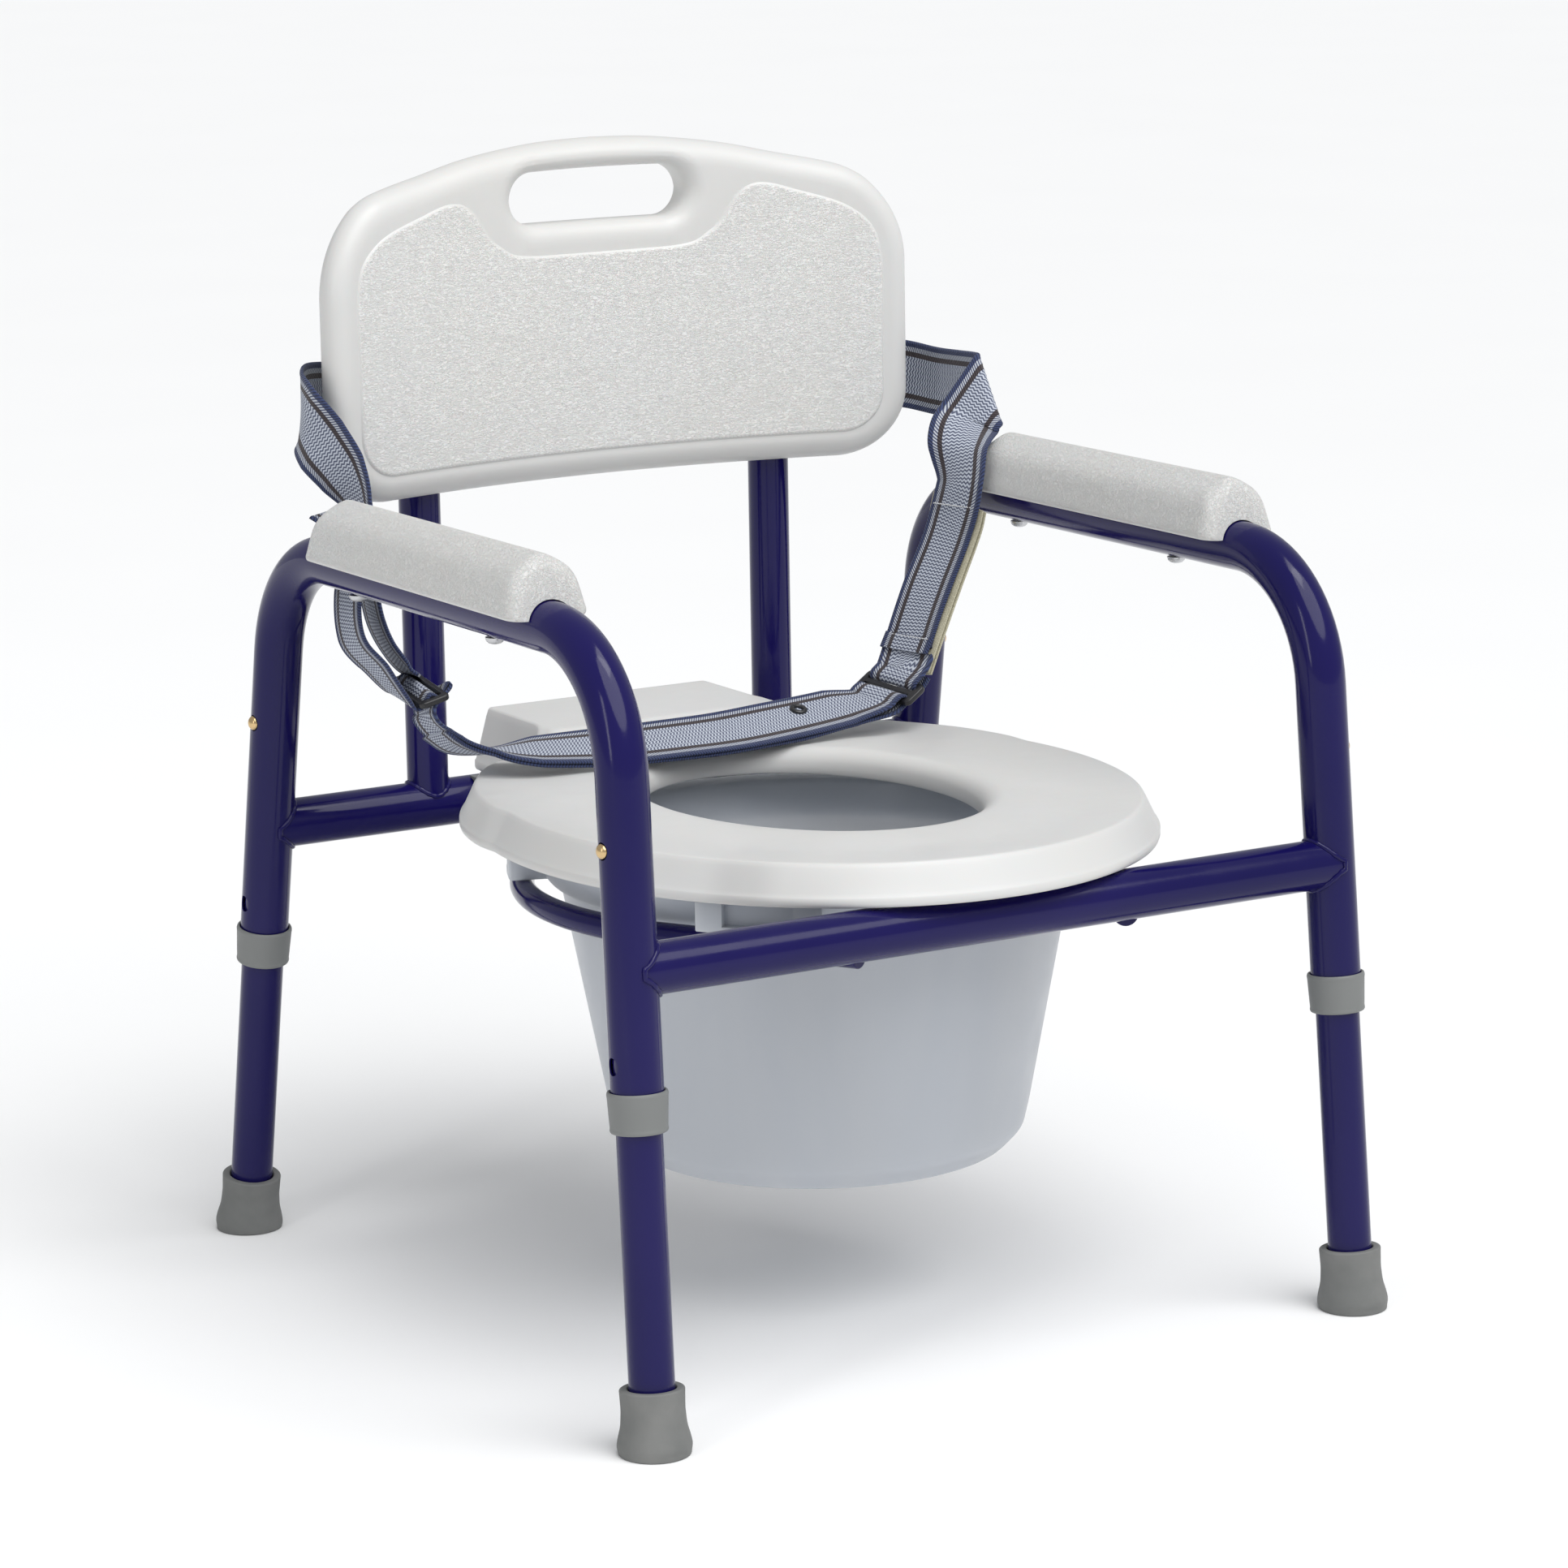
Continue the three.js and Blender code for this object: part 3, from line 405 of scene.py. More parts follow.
def frames_along(points, closed=False):
    """Direction and two side directions at each point, turned as little as possible along the line."""
    ahead = directions_along(points, closed)
    side, _ = square_to(ahead[0], Z, X)
    out = []
    for along in ahead:
        side = unit(side - side.dot(along) * along)
        out.append((along, side, np.cross(along, side)))
    return out


def tube(name, points, radius, bore=0.0, sides=48, look="blue_paint"):
    """A round bar, or a tube with a bore, along a line of points. Its ends are chamfered."""
    points = np.asarray(points, float)
    directions = frames_along(points)
    last = len(points) - 1
    edge = min(0.4, radius / 2)
    rings = [(0, radius - edge, 0), *((i, radius, 0) for i in range(last + 1)), (last, radius - edge, 0)]
    rings[1], rings[-2] = (0, radius, edge), (last, radius, -edge)
    if bore:
        rings += [(i, bore, 0) for i in reversed(range(last + 1))]
    verts = []
    for i, reach, shift in rings:
        tangent, side, other = directions[i]
        verts += circle(points[i] + tangent * shift, reach, side, other, sides)
    return solid(name, verts, swept_faces(len(rings), sides, bool(bore)), look)


def lathe(name, profile, look, point=(0, 0, 0), axis=Z, sides=48, angle=38):
    """A profile of (radius, height) turned about an axis through a point. Ends of radius 0 are closed."""
    axis = unit(axis)
    side, other = square_to(axis, X, Y)
    verts, faces, rings = [], [], []
    for radius, height in profile:
        ring = circle(point + axis * height, radius, side, other, sides if radius > 0 else 1)
        rings.append(range(len(verts), len(verts) + len(ring)))
        verts += ring
    pairs = list(zip(rings, rings[1:]))
    if profile[0][0] > 0 and profile[-1][0] > 0:
        pairs.append((rings[-1], rings[0]))
    for low, high in pairs:
        for k in range(sides):
            corners = [(low, k), (low, k + 1), (high, k + 1), (high, k)]
            faces.append(tuple(dict.fromkeys(ring[at % len(ring)] for ring, at in corners)))
    return solid(name, verts, faces, look, angle)


def rounded(profile, radius, steps=3):
    """A profile of (radius, height) with its inner corners rounded."""
    profile = [np.array(p, float) for p in profile]
    points = [profile[0]]
    for before, corner, after in zip(profile, profile[1:], profile[2:]):
        reach = min(radius, 0.45 * np.linalg.norm(before - corner), 0.45 * np.linalg.norm(after - corner))
        start, end = (corner + unit(p - corner) * reach for p in (before, after))
        for t in np.arange(steps + 1) / steps:
            points.append((1 - t) ** 2 * start + 2 * t * (1 - t) * corner + t ** 2 * end)
    return [tuple(p) for p in (*points, profile[-1])]


def bar(point_a, point_b, radius, sides=64):
    """A plain round cutter."""
    return tube("cutter", [point_a, point_b], radius, sides=sides)


def block(middle, *half_edges):
    """A box cutter, from its middle and half of three of its edges."""
    one, two, three = half_edges
    corners = [middle + a * one + b * two + c * three
               for c in (-1, 1) for a, b in ((-1, -1), (1, -1), (1, 1), (-1, 1))]
    return solid("cutter", corners, swept_faces(2, 4), "steel")


def spline(points, step):
    """Points every step or so along a centripetal Catmull-Rom curve, with the share of the way for each."""
    p = np.asarray(points, float)
    p = np.vstack([2 * p[0] - p[1], p, 2 * p[-1] - p[-2]])
    out, spans = [], []

    def between(a, b, start, end, t):
        return (end - t) / (end - start) * a + (t - start) / (end - start) * b

    for i in range(1, len(p) - 2):
        p0, p1, p2, p3 = p[i - 1:i + 3]
        gaps = [max(np.linalg.norm(b - a), 1e-6) ** 0.5 for a, b in ((p0, p1), (p1, p2), (p2, p3))]
        t0, t1, t2, t3 = 0.0, *np.cumsum(gaps)
        count = max(2, int(np.linalg.norm(p2 - p1) / step))
        for k in range(count):
            t = t1 + (t2 - t1) * k / count
            a1, a2, a3 = between(p0, p1, t0, t1, t), between(p1, p2, t1, t2, t), between(p2, p3, t2, t3, t)
            out.append(between(between(a1, a2, t0, t2, t), between(a2, a3, t1, t3, t), t1, t2, t))
            spans.append(i - 1 + k / count)
    return np.array([*out, p[-2]]), np.array([*spans, len(points) - 1.0])


# ---------------- frame dimensions, as in the CAD
TUBE_RADIUS, TUBE_BORE = 12.7, 11.8
LEG_RADIUS, LEG_BORE = 11.1, 10.1
FOOT_X, FOOT_Y = 204.5, 224.0
LEG_LEAN, FRONT_RAKE, REAR_RAKE = 0.0125, 0.0766, 0.1705
ARM_HEIGHT, BEND_RADIUS = 381.1, 66.0
TUBE_END, LEG_TOP, BUTTON_HEIGHT, LEG_TRAVEL = 156.5, 311.5, 287.0, 101.6
BAR_HEIGHT, FRONT_BAR_Y, REAR_BAR_Y = 229.2, -206.7, 184.6
POST_X, POST_TOP = 107.6, 525.5
ARM_X = FOOT_X - LEG_LEAN * ARM_HEIGHT
SIDES = [("left", -1), ("right", 1)]
LEGS = [(f"{end}_{label}", side, row) for end, row in (("front", -1), ("rear", 1)) for label, side in SIDES]


def leg_point(side, row, z):
    rake = FRONT_RAKE if row < 0 else REAR_RAKE
    return np.array([side * (FOOT_X - LEG_LEAN * z), row * (FOOT_Y - rake * z), z])


def leg_up(side, row):
    return unit(leg_point(side, row, 100) - leg_point(side, row, 0))


def leg_outward(side, row):
    up = leg_up(side, row)
    return side * unit(X - X.dot(up) * up)


def bent(corners, radius, steps):
    """A line through corners, with an arc at each one between its ends."""
    line = [corners[0]]
    for before, corner, after in zip(corners, corners[1:], corners[2:]):
        back, ahead = unit(before - corner), unit(after - corner)
        half = math.acos(back.dot(ahead)) / 2
        centre = corner + unit(back + ahead) * radius / math.sin(half)
        out = corner + back * radius / math.tan(half) - centre
        for angle in np.linspace(0, math.pi - 2 * half, steps + 1):
            line.append(centre + out * math.cos(angle) - back * radius * math.sin(angle))
    return [*line, corners[-1]]


# ---------------- side frames and legs
TIP_HEIGHT, TIP_FLOOR, TIP_BORE = 31.2, 6.0, 11.6
BUTTON_HOLE = 4.3
SPRING_JOIN, SPRING_BEND, SPRING_THICKNESS, SPRING_WIDTH = -36.8, 2.0, 0.8, 6.4


def button_hole(side, row, z):
    point = leg_point(side, row, z)
    return bar(point, point + leg_outward(side, row) * 2 * TUBE_RADIUS, BUTTON_HOLE, 32)


def side_frame(label, side):
    stops = ((-1, TUBE_END), (-1, ARM_HEIGHT), (1, ARM_HEIGHT), (1, TUBE_END))
    line = bent([leg_point(side, row, z) for row, z in stops], BEND_RADIUS, 18)
    obj = tube(f"side_frame_tube_{label}", line, TUBE_RADIUS, TUBE_BORE, 64)
    carve(obj, *[button_hole(side, row, BUTTON_HEIGHT - down * leg_up(side, row)[2])
                 for row in (-1, 1) for down in (0, LEG_TRAVEL)])
    finish(obj, "frame", "blue_paint", f"side_frame_{label}")


def leg_tip(label, side, row):
    profile = rounded([(0, -8), (16.6, -8), (17.4, 0), (18.15, 3.6), (17.4, 7.6), (15.9, 13), (15.3, 21),
                       (15.7, TIP_HEIGHT - 0.6), (15.0, TIP_HEIGHT), (TIP_BORE + 0.5, TIP_HEIGHT),
                       (TIP_BORE, TIP_HEIGHT - 0.8), (TIP_BORE, TIP_FLOOR), (0, TIP_FLOOR)], 2.2)
    low = leg_point(side, row, 0)
    obj = lathe(f"leg_tip_rubber_{label}", profile, "grey_rubber", low, leg_up(side, row), 64)
    carve(obj, block(low - 15 * Z, 40 * X, 40 * Y, 15 * Z))
    grooves = [[(reach - 0.8, -1), (reach + 0.8, -1), (reach + 0.5, 1.2), (reach - 0.5, 1.2)]
               for reach in (6.5, 11.5)]
    carve(obj, *[lathe("cutter", groove, "grey_rubber", low) for groove in grooves])
    finish(obj, f"leg_{label}", "grey_rubber", f"leg_tip_{label}")


def leg_spring(label, side, row):
    """The hairpin spring inside a leg: its fold stays with the leg, and its free arm is left where it is
    made.
    """
    up, out = leg_up(side, row), leg_outward(side, row)
    across = np.cross(up, out)
    middle = leg_point(side, row, BUTTON_HEIGHT)
    bend, join = SPRING_BEND, SPRING_JOIN
    free = [(5.2, 5.0), (5.2, -6.0)]
    free += [(5.2 - 3.2 * t, -6.0 + (join + 6) * t) for t in np.linspace(0.1, 1, 10)]
    fold = [(bend * math.cos(t), join - 0.4 - 3.6 * math.sin(t)) for t in np.linspace(0, math.pi, 13)]
    held = [(bend, join), *fold, *((-bend - 5.7 * t, join + 39 * t) for t in np.linspace(0.05, 1, 8))]
    arms = []
    for part, path in (("free", np.array(free)), ("held", np.array(held))):
        verts = []
        for place, (ahead_out, ahead_up) in zip(path, directions_along(path)):
            thick = SPRING_THICKNESS / 2 * np.array([-ahead_up, ahead_out])
            for half, face in ((-1, -1), (1, -1), (1, 1), (-1, 1)):
                u, v = place + face * thick
                verts.append(middle + u * out + v * up + half * SPRING_WIDTH / 2 * across)
        arms.append(solid(f"spring_{part}_arm_{label}", verts, swept_faces(len(path), 4), "steel"))
    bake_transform(arms[0])
    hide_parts(f"spring_clip_{label}")
    finish(arms[1], f"leg_{label}", "steel", f"spring_clip_{label}")


def leg_tube(label, side, row):
    line = [leg_point(side, row, z) for z in np.linspace(TIP_FLOOR + 1, LEG_TOP, 12)]
    obj = tube(f"leg_extension_tube_{label}", line, LEG_RADIUS, LEG_BORE, 56)
    carve(obj, button_hole(side, row, BUTTON_HEIGHT))
    finish(obj, f"leg_{label}", "blue_paint", f"leg_extension_{label}")


def leg_collar(label, side, row):
    profile = rounded([(11.75, -2.2), (12.4, -2.9), (13.5, -3.0), (14.0, -1.9), (13.75, -0.6), (13.95, 2.5),
                       (14.5, 13.8), (14.7, 15.3), (14.3, 16.6), (13.2, 16.7), (13.0, 15.8), (13.0, -0.4),
                       (11.75, -0.4), (11.75, -2.2)], 0.5)[:-1]
    place = leg_point(side, row, TUBE_END)
    obj = lathe(f"leg_collar_ring_{label}", profile, "grey_plastic", place, leg_up(side, row), 64)
    finish(obj, "frame", "grey_plastic", f"leg_collar_{label}")


def leg_button(label, side, row):
    proud = TUBE_RADIUS + 2.4
    dome = [(3.8 * math.sin(t), proud - 3.0 + 3.0 * math.cos(t)) for t in np.linspace(math.pi / 2, 0, 9)[:-1]]
    profile = [(0, 6.2), (3.6, 6.2), (3.8, 6.4), *dome, (0, proud)]
    place = leg_point(side, row, BUTTON_HEIGHT)
    obj = lathe(f"snap_button_dome_{label}", profile, "brass", place, leg_outward(side, row), 40)
    finish(obj, f"button_{label}", "brass", f"snap_button_{label}")


# ---------------- crossbars, posts, hoops and welds
WELD_SIZE, WELD_STEPS, WELD_SIDES = 1.35, 72, 14
HOOP_RADIUS, HOOP_CENTRE_Y, HOOP_ROD, HOOP_HEIGHT, HOOP_END_RISE = 148.0, -34.0, 6.35, 217.0, 2.4
HOOP_FRONT_X, HOOP_REAR_X = 77.0, 50.0


def weld(name, start, along, bar_radius, tube_point, axis):
    """A bead where a bar meets a frame tube: start is on the bar's axis, along leads away from the tube."""
    slide = along - along.dot(axis) * axis
    ring = []
    for point in circle(start, bar_radius, *square_to(along, Z, X), WELD_STEPS):
        foot = point - tube_point
        foot = foot - foot.dot(axis) * axis
        a, b, c = slide.dot(slide), 2 * foot.dot(slide), foot.dot(foot) - TUBE_RADIUS ** 2
        ring.append(point + (-b + math.sqrt(max(b * b - 4 * a * c, 0))) / (2 * a) * along)
    verts = []
    for i, (point, (_, side, other)) in enumerate(zip(ring, frames_along(np.array(ring), closed=True))):
        reach = WELD_SIZE * (1 + 0.1 * math.sin(i * 1.7) + 0.05 * math.sin(i * 3.9))
        verts += circle(point, reach, side, other, WELD_SIDES)
    finish(solid(name, verts, swept_faces(WELD_STEPS, WELD_SIDES, True), "blue_paint"), "frame", "blue_paint")


def crossbar(label, row, y):
    reach = FOOT_X - LEG_LEAN * BAR_HEIGHT
    line = [(x, y, BAR_HEIGHT) for x in np.linspace(-reach, reach, 16)]
    obj = tube(f"{label}_crossbar_tube", line, TUBE_RADIUS, sides=64)
    spans = [[leg_point(side, row, BAR_HEIGHT + rise) for rise in (-40, 40)] for side in (-1, 1)]
    carve(obj, *[bar(*span, TUBE_RADIUS - 0.4) for span in spans])
    with editing(obj) as work:
        beyond = [v for v in work.verts if abs(v.co.x) > (reach + 2) * MM]
        bmesh.ops.delete(work, geom=beyond, context="VERTS")
    finish(obj, "frame", "blue_paint", f"{label}_crossbar")
    for name, side in SIDES:
        start = np.array([side * (reach - 30), y, BAR_HEIGHT])
        weld(f"weld_{label}_crossbar_{name}", start, -side * X, TUBE_RADIUS, leg_point(side, row, BAR_HEIGHT),
             leg_up(side, row))


def backrest_post(label, side):
    low = np.array([side * POST_X, REAR_BAR_Y, BAR_HEIGHT])
    line = [low + rise * Z for rise in np.linspace(0, POST_TOP - BAR_HEIGHT, 12)]
    obj = tube(f"backrest_post_tube_{label}", line, LEG_RADIUS, LEG_BORE, 56)
    carve(obj, bar(low - 40 * X, low + 40 * X, TUBE_RADIUS - 0.3))
    finish(obj, "frame", "blue_paint", f"backrest_post_{label}")
    weld(f"weld_post_{label}", low + 30 * Z, Z, LEG_RADIUS, low, X)


def pail_hoop(label, side):
    def leaving(x, depth):
        return math.atan2(depth, x) - math.acos(HOOP_RADIUS / math.hypot(x, depth))

    first = -leaving(HOOP_FRONT_X, HOOP_CENTRE_Y - FRONT_BAR_Y)
    last = leaving(HOOP_REAR_X, REAR_BAR_Y - HOOP_CENTRE_Y)
    around = [(HOOP_RADIUS * math.cos(angle), HOOP_CENTRE_Y + HOOP_RADIUS * math.sin(angle), HOOP_HEIGHT)
              for angle in np.linspace(first, last, 48)]
    end = HOOP_HEIGHT + HOOP_END_RISE
    line = np.array([(HOOP_FRONT_X, FRONT_BAR_Y, end), *around, (HOOP_REAR_X, REAR_BAR_Y, end)])
    obj = tube(f"pail_hoop_rod_{label}", line * (side, 1, 1), HOOP_ROD, sides=32)
    carve(obj, *[bar((-FOOT_X, y, BAR_HEIGHT), (FOOT_X, y, BAR_HEIGHT), TUBE_RADIUS - 0.25)
                 for y in (FRONT_BAR_Y, REAR_BAR_Y)])
    finish(obj, "frame", "blue_paint", f"pail_hoop_{label}")


def prism(name, outline, low, high, look, place=lambda *point: point):
    """A flat outline stood up between two heights; place turns (u, v, height) into a point."""
    verts = [place(u, v, height) for height in (low, high) for u, v in outline]
    *sides, bottom, top = swept_faces(2, len(outline))
    return solid(name, verts, [*sides, bottom[::-1], top[::-1]], look)


def arc(cx, cy, radius, start, end, steps, radius_y=None):
    turns = np.radians(np.linspace(start, end, steps + 1))
    return [(cx + radius * math.cos(t), cy + (radius_y or radius) * math.sin(t)) for t in turns]


# ---------------- screws and arm pads
PAD_FRONT, PAD_REAR, PAD_BOTTOM, PAD_TOP = -134.0, 94.0, 385.3, 415.5
PAD_ROUND = 9.5
PAD_SCREWS = (("front", -75), ("rear", 73))
BACK_SCREW_HEIGHT = 493.5
SLOT_LENGTH, SLOT_WIDTH, SLOT_MIDDLE = 4.8, 0.9, 3.1


def screw(name, point, axis, replaced):
    head = [(0, 0), (4.8, 0), (4.75, 0.7), (4.3, 1.9), (3.2, 2.9), (1.7, 3.35), (0, 3.45)]
    obj = lathe(name, head, "steel", point, axis, 40)
    other = np.cross(axis, X)
    carve(obj, *[block(point + SLOT_MIDDLE * axis, SLOT_LENGTH / 2 * one, SLOT_WIDTH / 2 * two, 1.5 * axis)
                 for one, two in ((X, other), (other, X))])
    finish(obj, "frame", "steel", replaced)


def screws(label, side):
    for row, y in PAD_SCREWS:
        under_arm = np.array([side * ARM_X, y, ARM_HEIGHT - TUBE_RADIUS - 0.3])
        screw(f"pad_screw_head_{label}_{row}", under_arm, -Z, f"arm_pad_screw_{label}_{row}")
    behind_post = np.array([side * POST_X, REAR_BAR_Y + LEG_RADIUS + 3.7, BACK_SCREW_HEIGHT])
    screw(f"back_screw_head_{label}", behind_post, Y, f"backrest_screw_{label}")


def give_grain(obj, look, grained):
    """A second look for the grained faces of a white piece. On the backrest panel this look is also a
    brighter white: painted light on the panel's front.
    """
    obj.data.materials.clear()
    for each in ("white_plastic", look):
        obj.data.materials.append(LOOKS[each])
    obj.data.polygons.foreach_set("material_index", np.array(grained, np.int32))


def arm_pad(label, side):
    half = [(20.4, PAD_BOTTOM), (21.3, PAD_BOTTOM + 0.4), (21.9, PAD_BOTTOM + 1.4), (22.0, PAD_BOTTOM + 2.6),
            (21.2, 391), (20.2, 395.5), (19.3, 399), (18.4, 402), (17.1, 404.8), (15.3, 407.3), (12.9, 409.5),
            (10, 411.4), (6.6, 413.3), (3.6, 414.7), (1.7, 415.3), (0, PAD_TOP)]
    section = half + [(-x, z) for x, z in reversed(half[:-1])]
    end = [(PAD_ROUND * (1 - math.cos(t)), 1 - math.sin(t)) for t in np.linspace(0, math.pi / 2, 10)]
    length = np.linspace(PAD_FRONT + PAD_ROUND + 4, PAD_REAR - PAD_ROUND - 4, 40)
    rows = [(PAD_FRONT + inset, shrink, 1) for inset, shrink in end]
    rows += [(y, 0, 1 if y < 0 else -1) for y in length]
    rows += [(PAD_REAR - inset, shrink, -1) for inset, shrink in reversed(end)]
    verts = []
    for y, shrink, lean in rows:
        near = max(0.0, 1 - min(y - PAD_FRONT, PAD_REAR - y) / 40)
        for x, z in section:
            height = (z - PAD_BOTTOM) / (PAD_TOP - PAD_BOTTOM)
            verts.append((side * ARM_X + x * (1 - 0.33 * shrink), y + lean * 5 * height * near,
                          z - shrink * 9 * height))
    obj = solid(f"arm_pad_moulding_{label}", verts, swept_faces(len(rows), len(section)), "white_plastic")
    carve(obj, bar((side * ARM_X, -300, ARM_HEIGHT), (side * ARM_X, 300, ARM_HEIGHT), TUBE_RADIUS + 0.6))
    give_grain(obj, "pad_grain", [polygon.normal.z > -0.3 for polygon in obj.data.polygons])
    finish(obj, "frame", "white_plastic", f"arm_pad_{label}")


# ---------------- plates drawn in plan and given height
def offset_ring(ring, distance):
    """A closed ring moved to its left by distance, along the mean normal of each corner."""
    ahead = np.roll(ring, -1, axis=0) - ring
    ahead /= np.linalg.norm(ahead, axis=1)[:, None]
    normal = np.stack([-ahead[:, 1], ahead[:, 0]], axis=1)
    mean = normal + np.roll(normal, 1, axis=0)
    mean /= np.linalg.norm(mean, axis=1)[:, None]
    spread = np.clip(np.sum(mean * normal, axis=1), 0.5, 1)
    return ring + mean * (distance / spread)[:, None]


def offset_rings(ring, *distances):
    return [offset_ring(ring, distance) for distance in distances]


def resample(ring, step):
    closed = np.array([*ring, ring[0]], float)
    lengths = np.cumsum([0, *np.linalg.norm(np.diff(closed, axis=0), axis=1)])
    at = np.linspace(0, lengths[-1], max(8, round(lengths[-1] / step)), endpoint=False)
    return np.stack([np.interp(at, lengths, closed[:, k]) for k in (0, 1)], axis=1)


def ring_distance(points, ring):
    """Distance of each point from a closed ring."""
    best = np.full(len(points), 1e9)
    for a, b in zip(ring, np.roll(ring, -1, axis=0)):
        line = b - a
        t = np.clip(((points - a) @ line) / max(line @ line, 1e-12), 0, 1)
        best = np.minimum(best, np.linalg.norm(points - (a + t[:, None] * line), axis=1))
    return best


def in_ring(points, ring):
    x, y = points.T
    inside = np.zeros(len(points), bool)
    for (x0, y0), (x1, y1) in zip(ring, np.roll(ring, -1, axis=0)):
        where = x0 + (y - y0) / (y1 - y0 if y1 != y0 else 1e-12) * (x1 - x0)
        inside ^= ((y0 > y) != (y1 > y)) & (x < where)
    return inside


def triangulate(outline, hole, rings, spacing):
    """Triangles between an outline and a hole that follow the given rings. The two borders come first."""
    loops = [outline, hole, *rings]
    fixed = np.vstack(loops)
    edges, start = [], 0
    for loop in loops:
        edges += [(start + i, start + (i + 1) % len(loop)) for i in range(len(loop))]
        start += len(loop)
    (left, low), (right, high) = fixed.min(axis=0), fixed.max(axis=0)
    grid = np.array([(x + (spacing / 2 if j % 2 else 0), y)
                     for j, y in enumerate(np.arange(low, high, spacing * 0.87))
                     for x in np.arange(left, right, spacing)])
    grid = grid[in_ring(grid, outline) & ~in_ring(grid, hole)]
    clear = np.min([ring_distance(grid, loop) for loop in loops], axis=0) > spacing * 0.55
    points = [Vector(p) for p in np.vstack([fixed, grid[clear]]).tolist()]
    out = delaunay_2d_cdt(points, edges, [], 0, 1e-5)
    verts = np.array([tuple(v) for v in out[0]])
    faces = np.array([f for f in out[2] if len(f) == 3])
    centres = verts[faces].mean(axis=1)
    keep = in_ring(centres, outline) & ~in_ring(centres, hole)
    where = {source: index for index, sources in enumerate(out[3]) for source in sources}
    borders = [[where[i] for i in range(len(outline))],
               [where[len(outline) + i] for i in range(len(hole))]]
    return verts, faces[keep], borders


def plate(name, top, bottom, top_height, bottom_height, look, place=lambda *point: point):
    """A closed body between two triangulations with the same borders."""
    verts, faces, sheets = [], [], []
    for (points, triangles, borders), height, order in ((top, top_height, 1), (bottom, bottom_height, -1)):
        base = len(verts)
        verts += [place(u, v, h) for (u, v), h in zip(points, height(points))]
        faces += (triangles[:, ::order] + base).tolist()
        sheets.append([[base + i for i in border] for border in borders])
    for upper, lower in zip(*sheets):
        faces += zip(upper, lower, lower[1:] + lower[:1], upper[1:] + upper[:1])
    obj = new_object(name, verts, faces, look)
    with editing(obj) as work:
        bmesh.ops.remove_doubles(work, verts=work.verts, dist=1e-6)
        bmesh.ops.recalc_face_normals(work, faces=work.faces)
    return soften(obj)


def rounding(distance, radius):
    """How far an edge of this radius has fallen away, at a distance in from it."""
    inside = np.clip(radius - distance, 0, radius)
    return radius - np.sqrt(radius ** 2 - inside ** 2)


def ramp(value, low, high):
    t = np.clip((value - low) / (high - low), 0, 1)
    return t * t * (3 - 2 * t)


def eased(value, low, high, ease):
    """A straight ramp from 0 to 1 with its two corners eased."""
    shifts = np.linspace(-ease, ease, 9)
    return sum(np.clip((value + shift - low) / (high - low), 0, 1) for shift in shifts) / len(shifts)


def mirrored(right):
    """A closed ring from its right half, which starts and ends on the middle line."""
    return right + [(-x, y) for x, y in reversed(right) if x > 1e-6]


def smooth_run(points):
    line, _ = spline([(x, y, 0) for x, y in points], 2.0)
    return [(x, y) for x, y, _ in line]


# ---------------- backrest panel
PANEL_HALF_WIDTH, PANEL_BOTTOM, PANEL_TOP, PANEL_CENTRE_Y = 176.0, 398.5, 580.0, 172.6
PANEL_SWEEP, PANEL_THICKNESS, PANEL_EDGE, HANDLE_EDGE = 33.0, 26.0, 13.0, 9.5
HANDLE_HALF_WIDTH, HANDLE_BOTTOM, HANDLE_TOP = 53.5, 536.0, 564.1
BOSS_Y = REAR_BAR_Y + LEG_RADIUS + 3.4


def panel_outline():
    shoulders = smooth_run([(152.9, 553.3), (144, 558), (131, 561.6), (106, 566.9), (82, 572.3), (60, 575.8),
                            (30, 579.0), (0, PANEL_TOP)])
    side = arc(138, PANEL_BOTTOM + 38, 38, -90, 0, 24) + arc(116, 506, 60, 0, 52, 24)[:-1]
    return resample(mirrored([(0, PANEL_BOTTOM), *side, *shoulders]), 3.0)


def handle_hole():
    reach, middle = (HANDLE_TOP - HANDLE_BOTTOM) / 2, (HANDLE_TOP + HANDLE_BOTTOM) / 2
    end = HANDLE_HALF_WIDTH - reach
    hole = resample(arc(end, middle, reach, -90, 90, 20) + arc(-end, middle, reach, 90, 270, 20)[:-1], 2.0)
    hole[:, 1] -= 0.9 * (hole[:, 0] / HANDLE_HALF_WIDTH) ** 2 * (hole[:, 1] > middle)
    return hole


def grain_border():
    border = [(0, 413.8)] + arc(136.5, 435.8, 22, -90, 0, 14)
    border += smooth_run([(158.5, 470), (158.4, 508.8), (154.2, 524.5), (141.4, 536.1), (112.7, 546.3),
                          (97, 550.6), (88, 550.2), (80.5, 545.5), (75, 538), (69.5, 530.5), (62.5, 525.5),
                          (56, 521.6), (45, 519.7), (20, 519.1), (0, 519)])
    return resample(mirrored(border), 2.2)


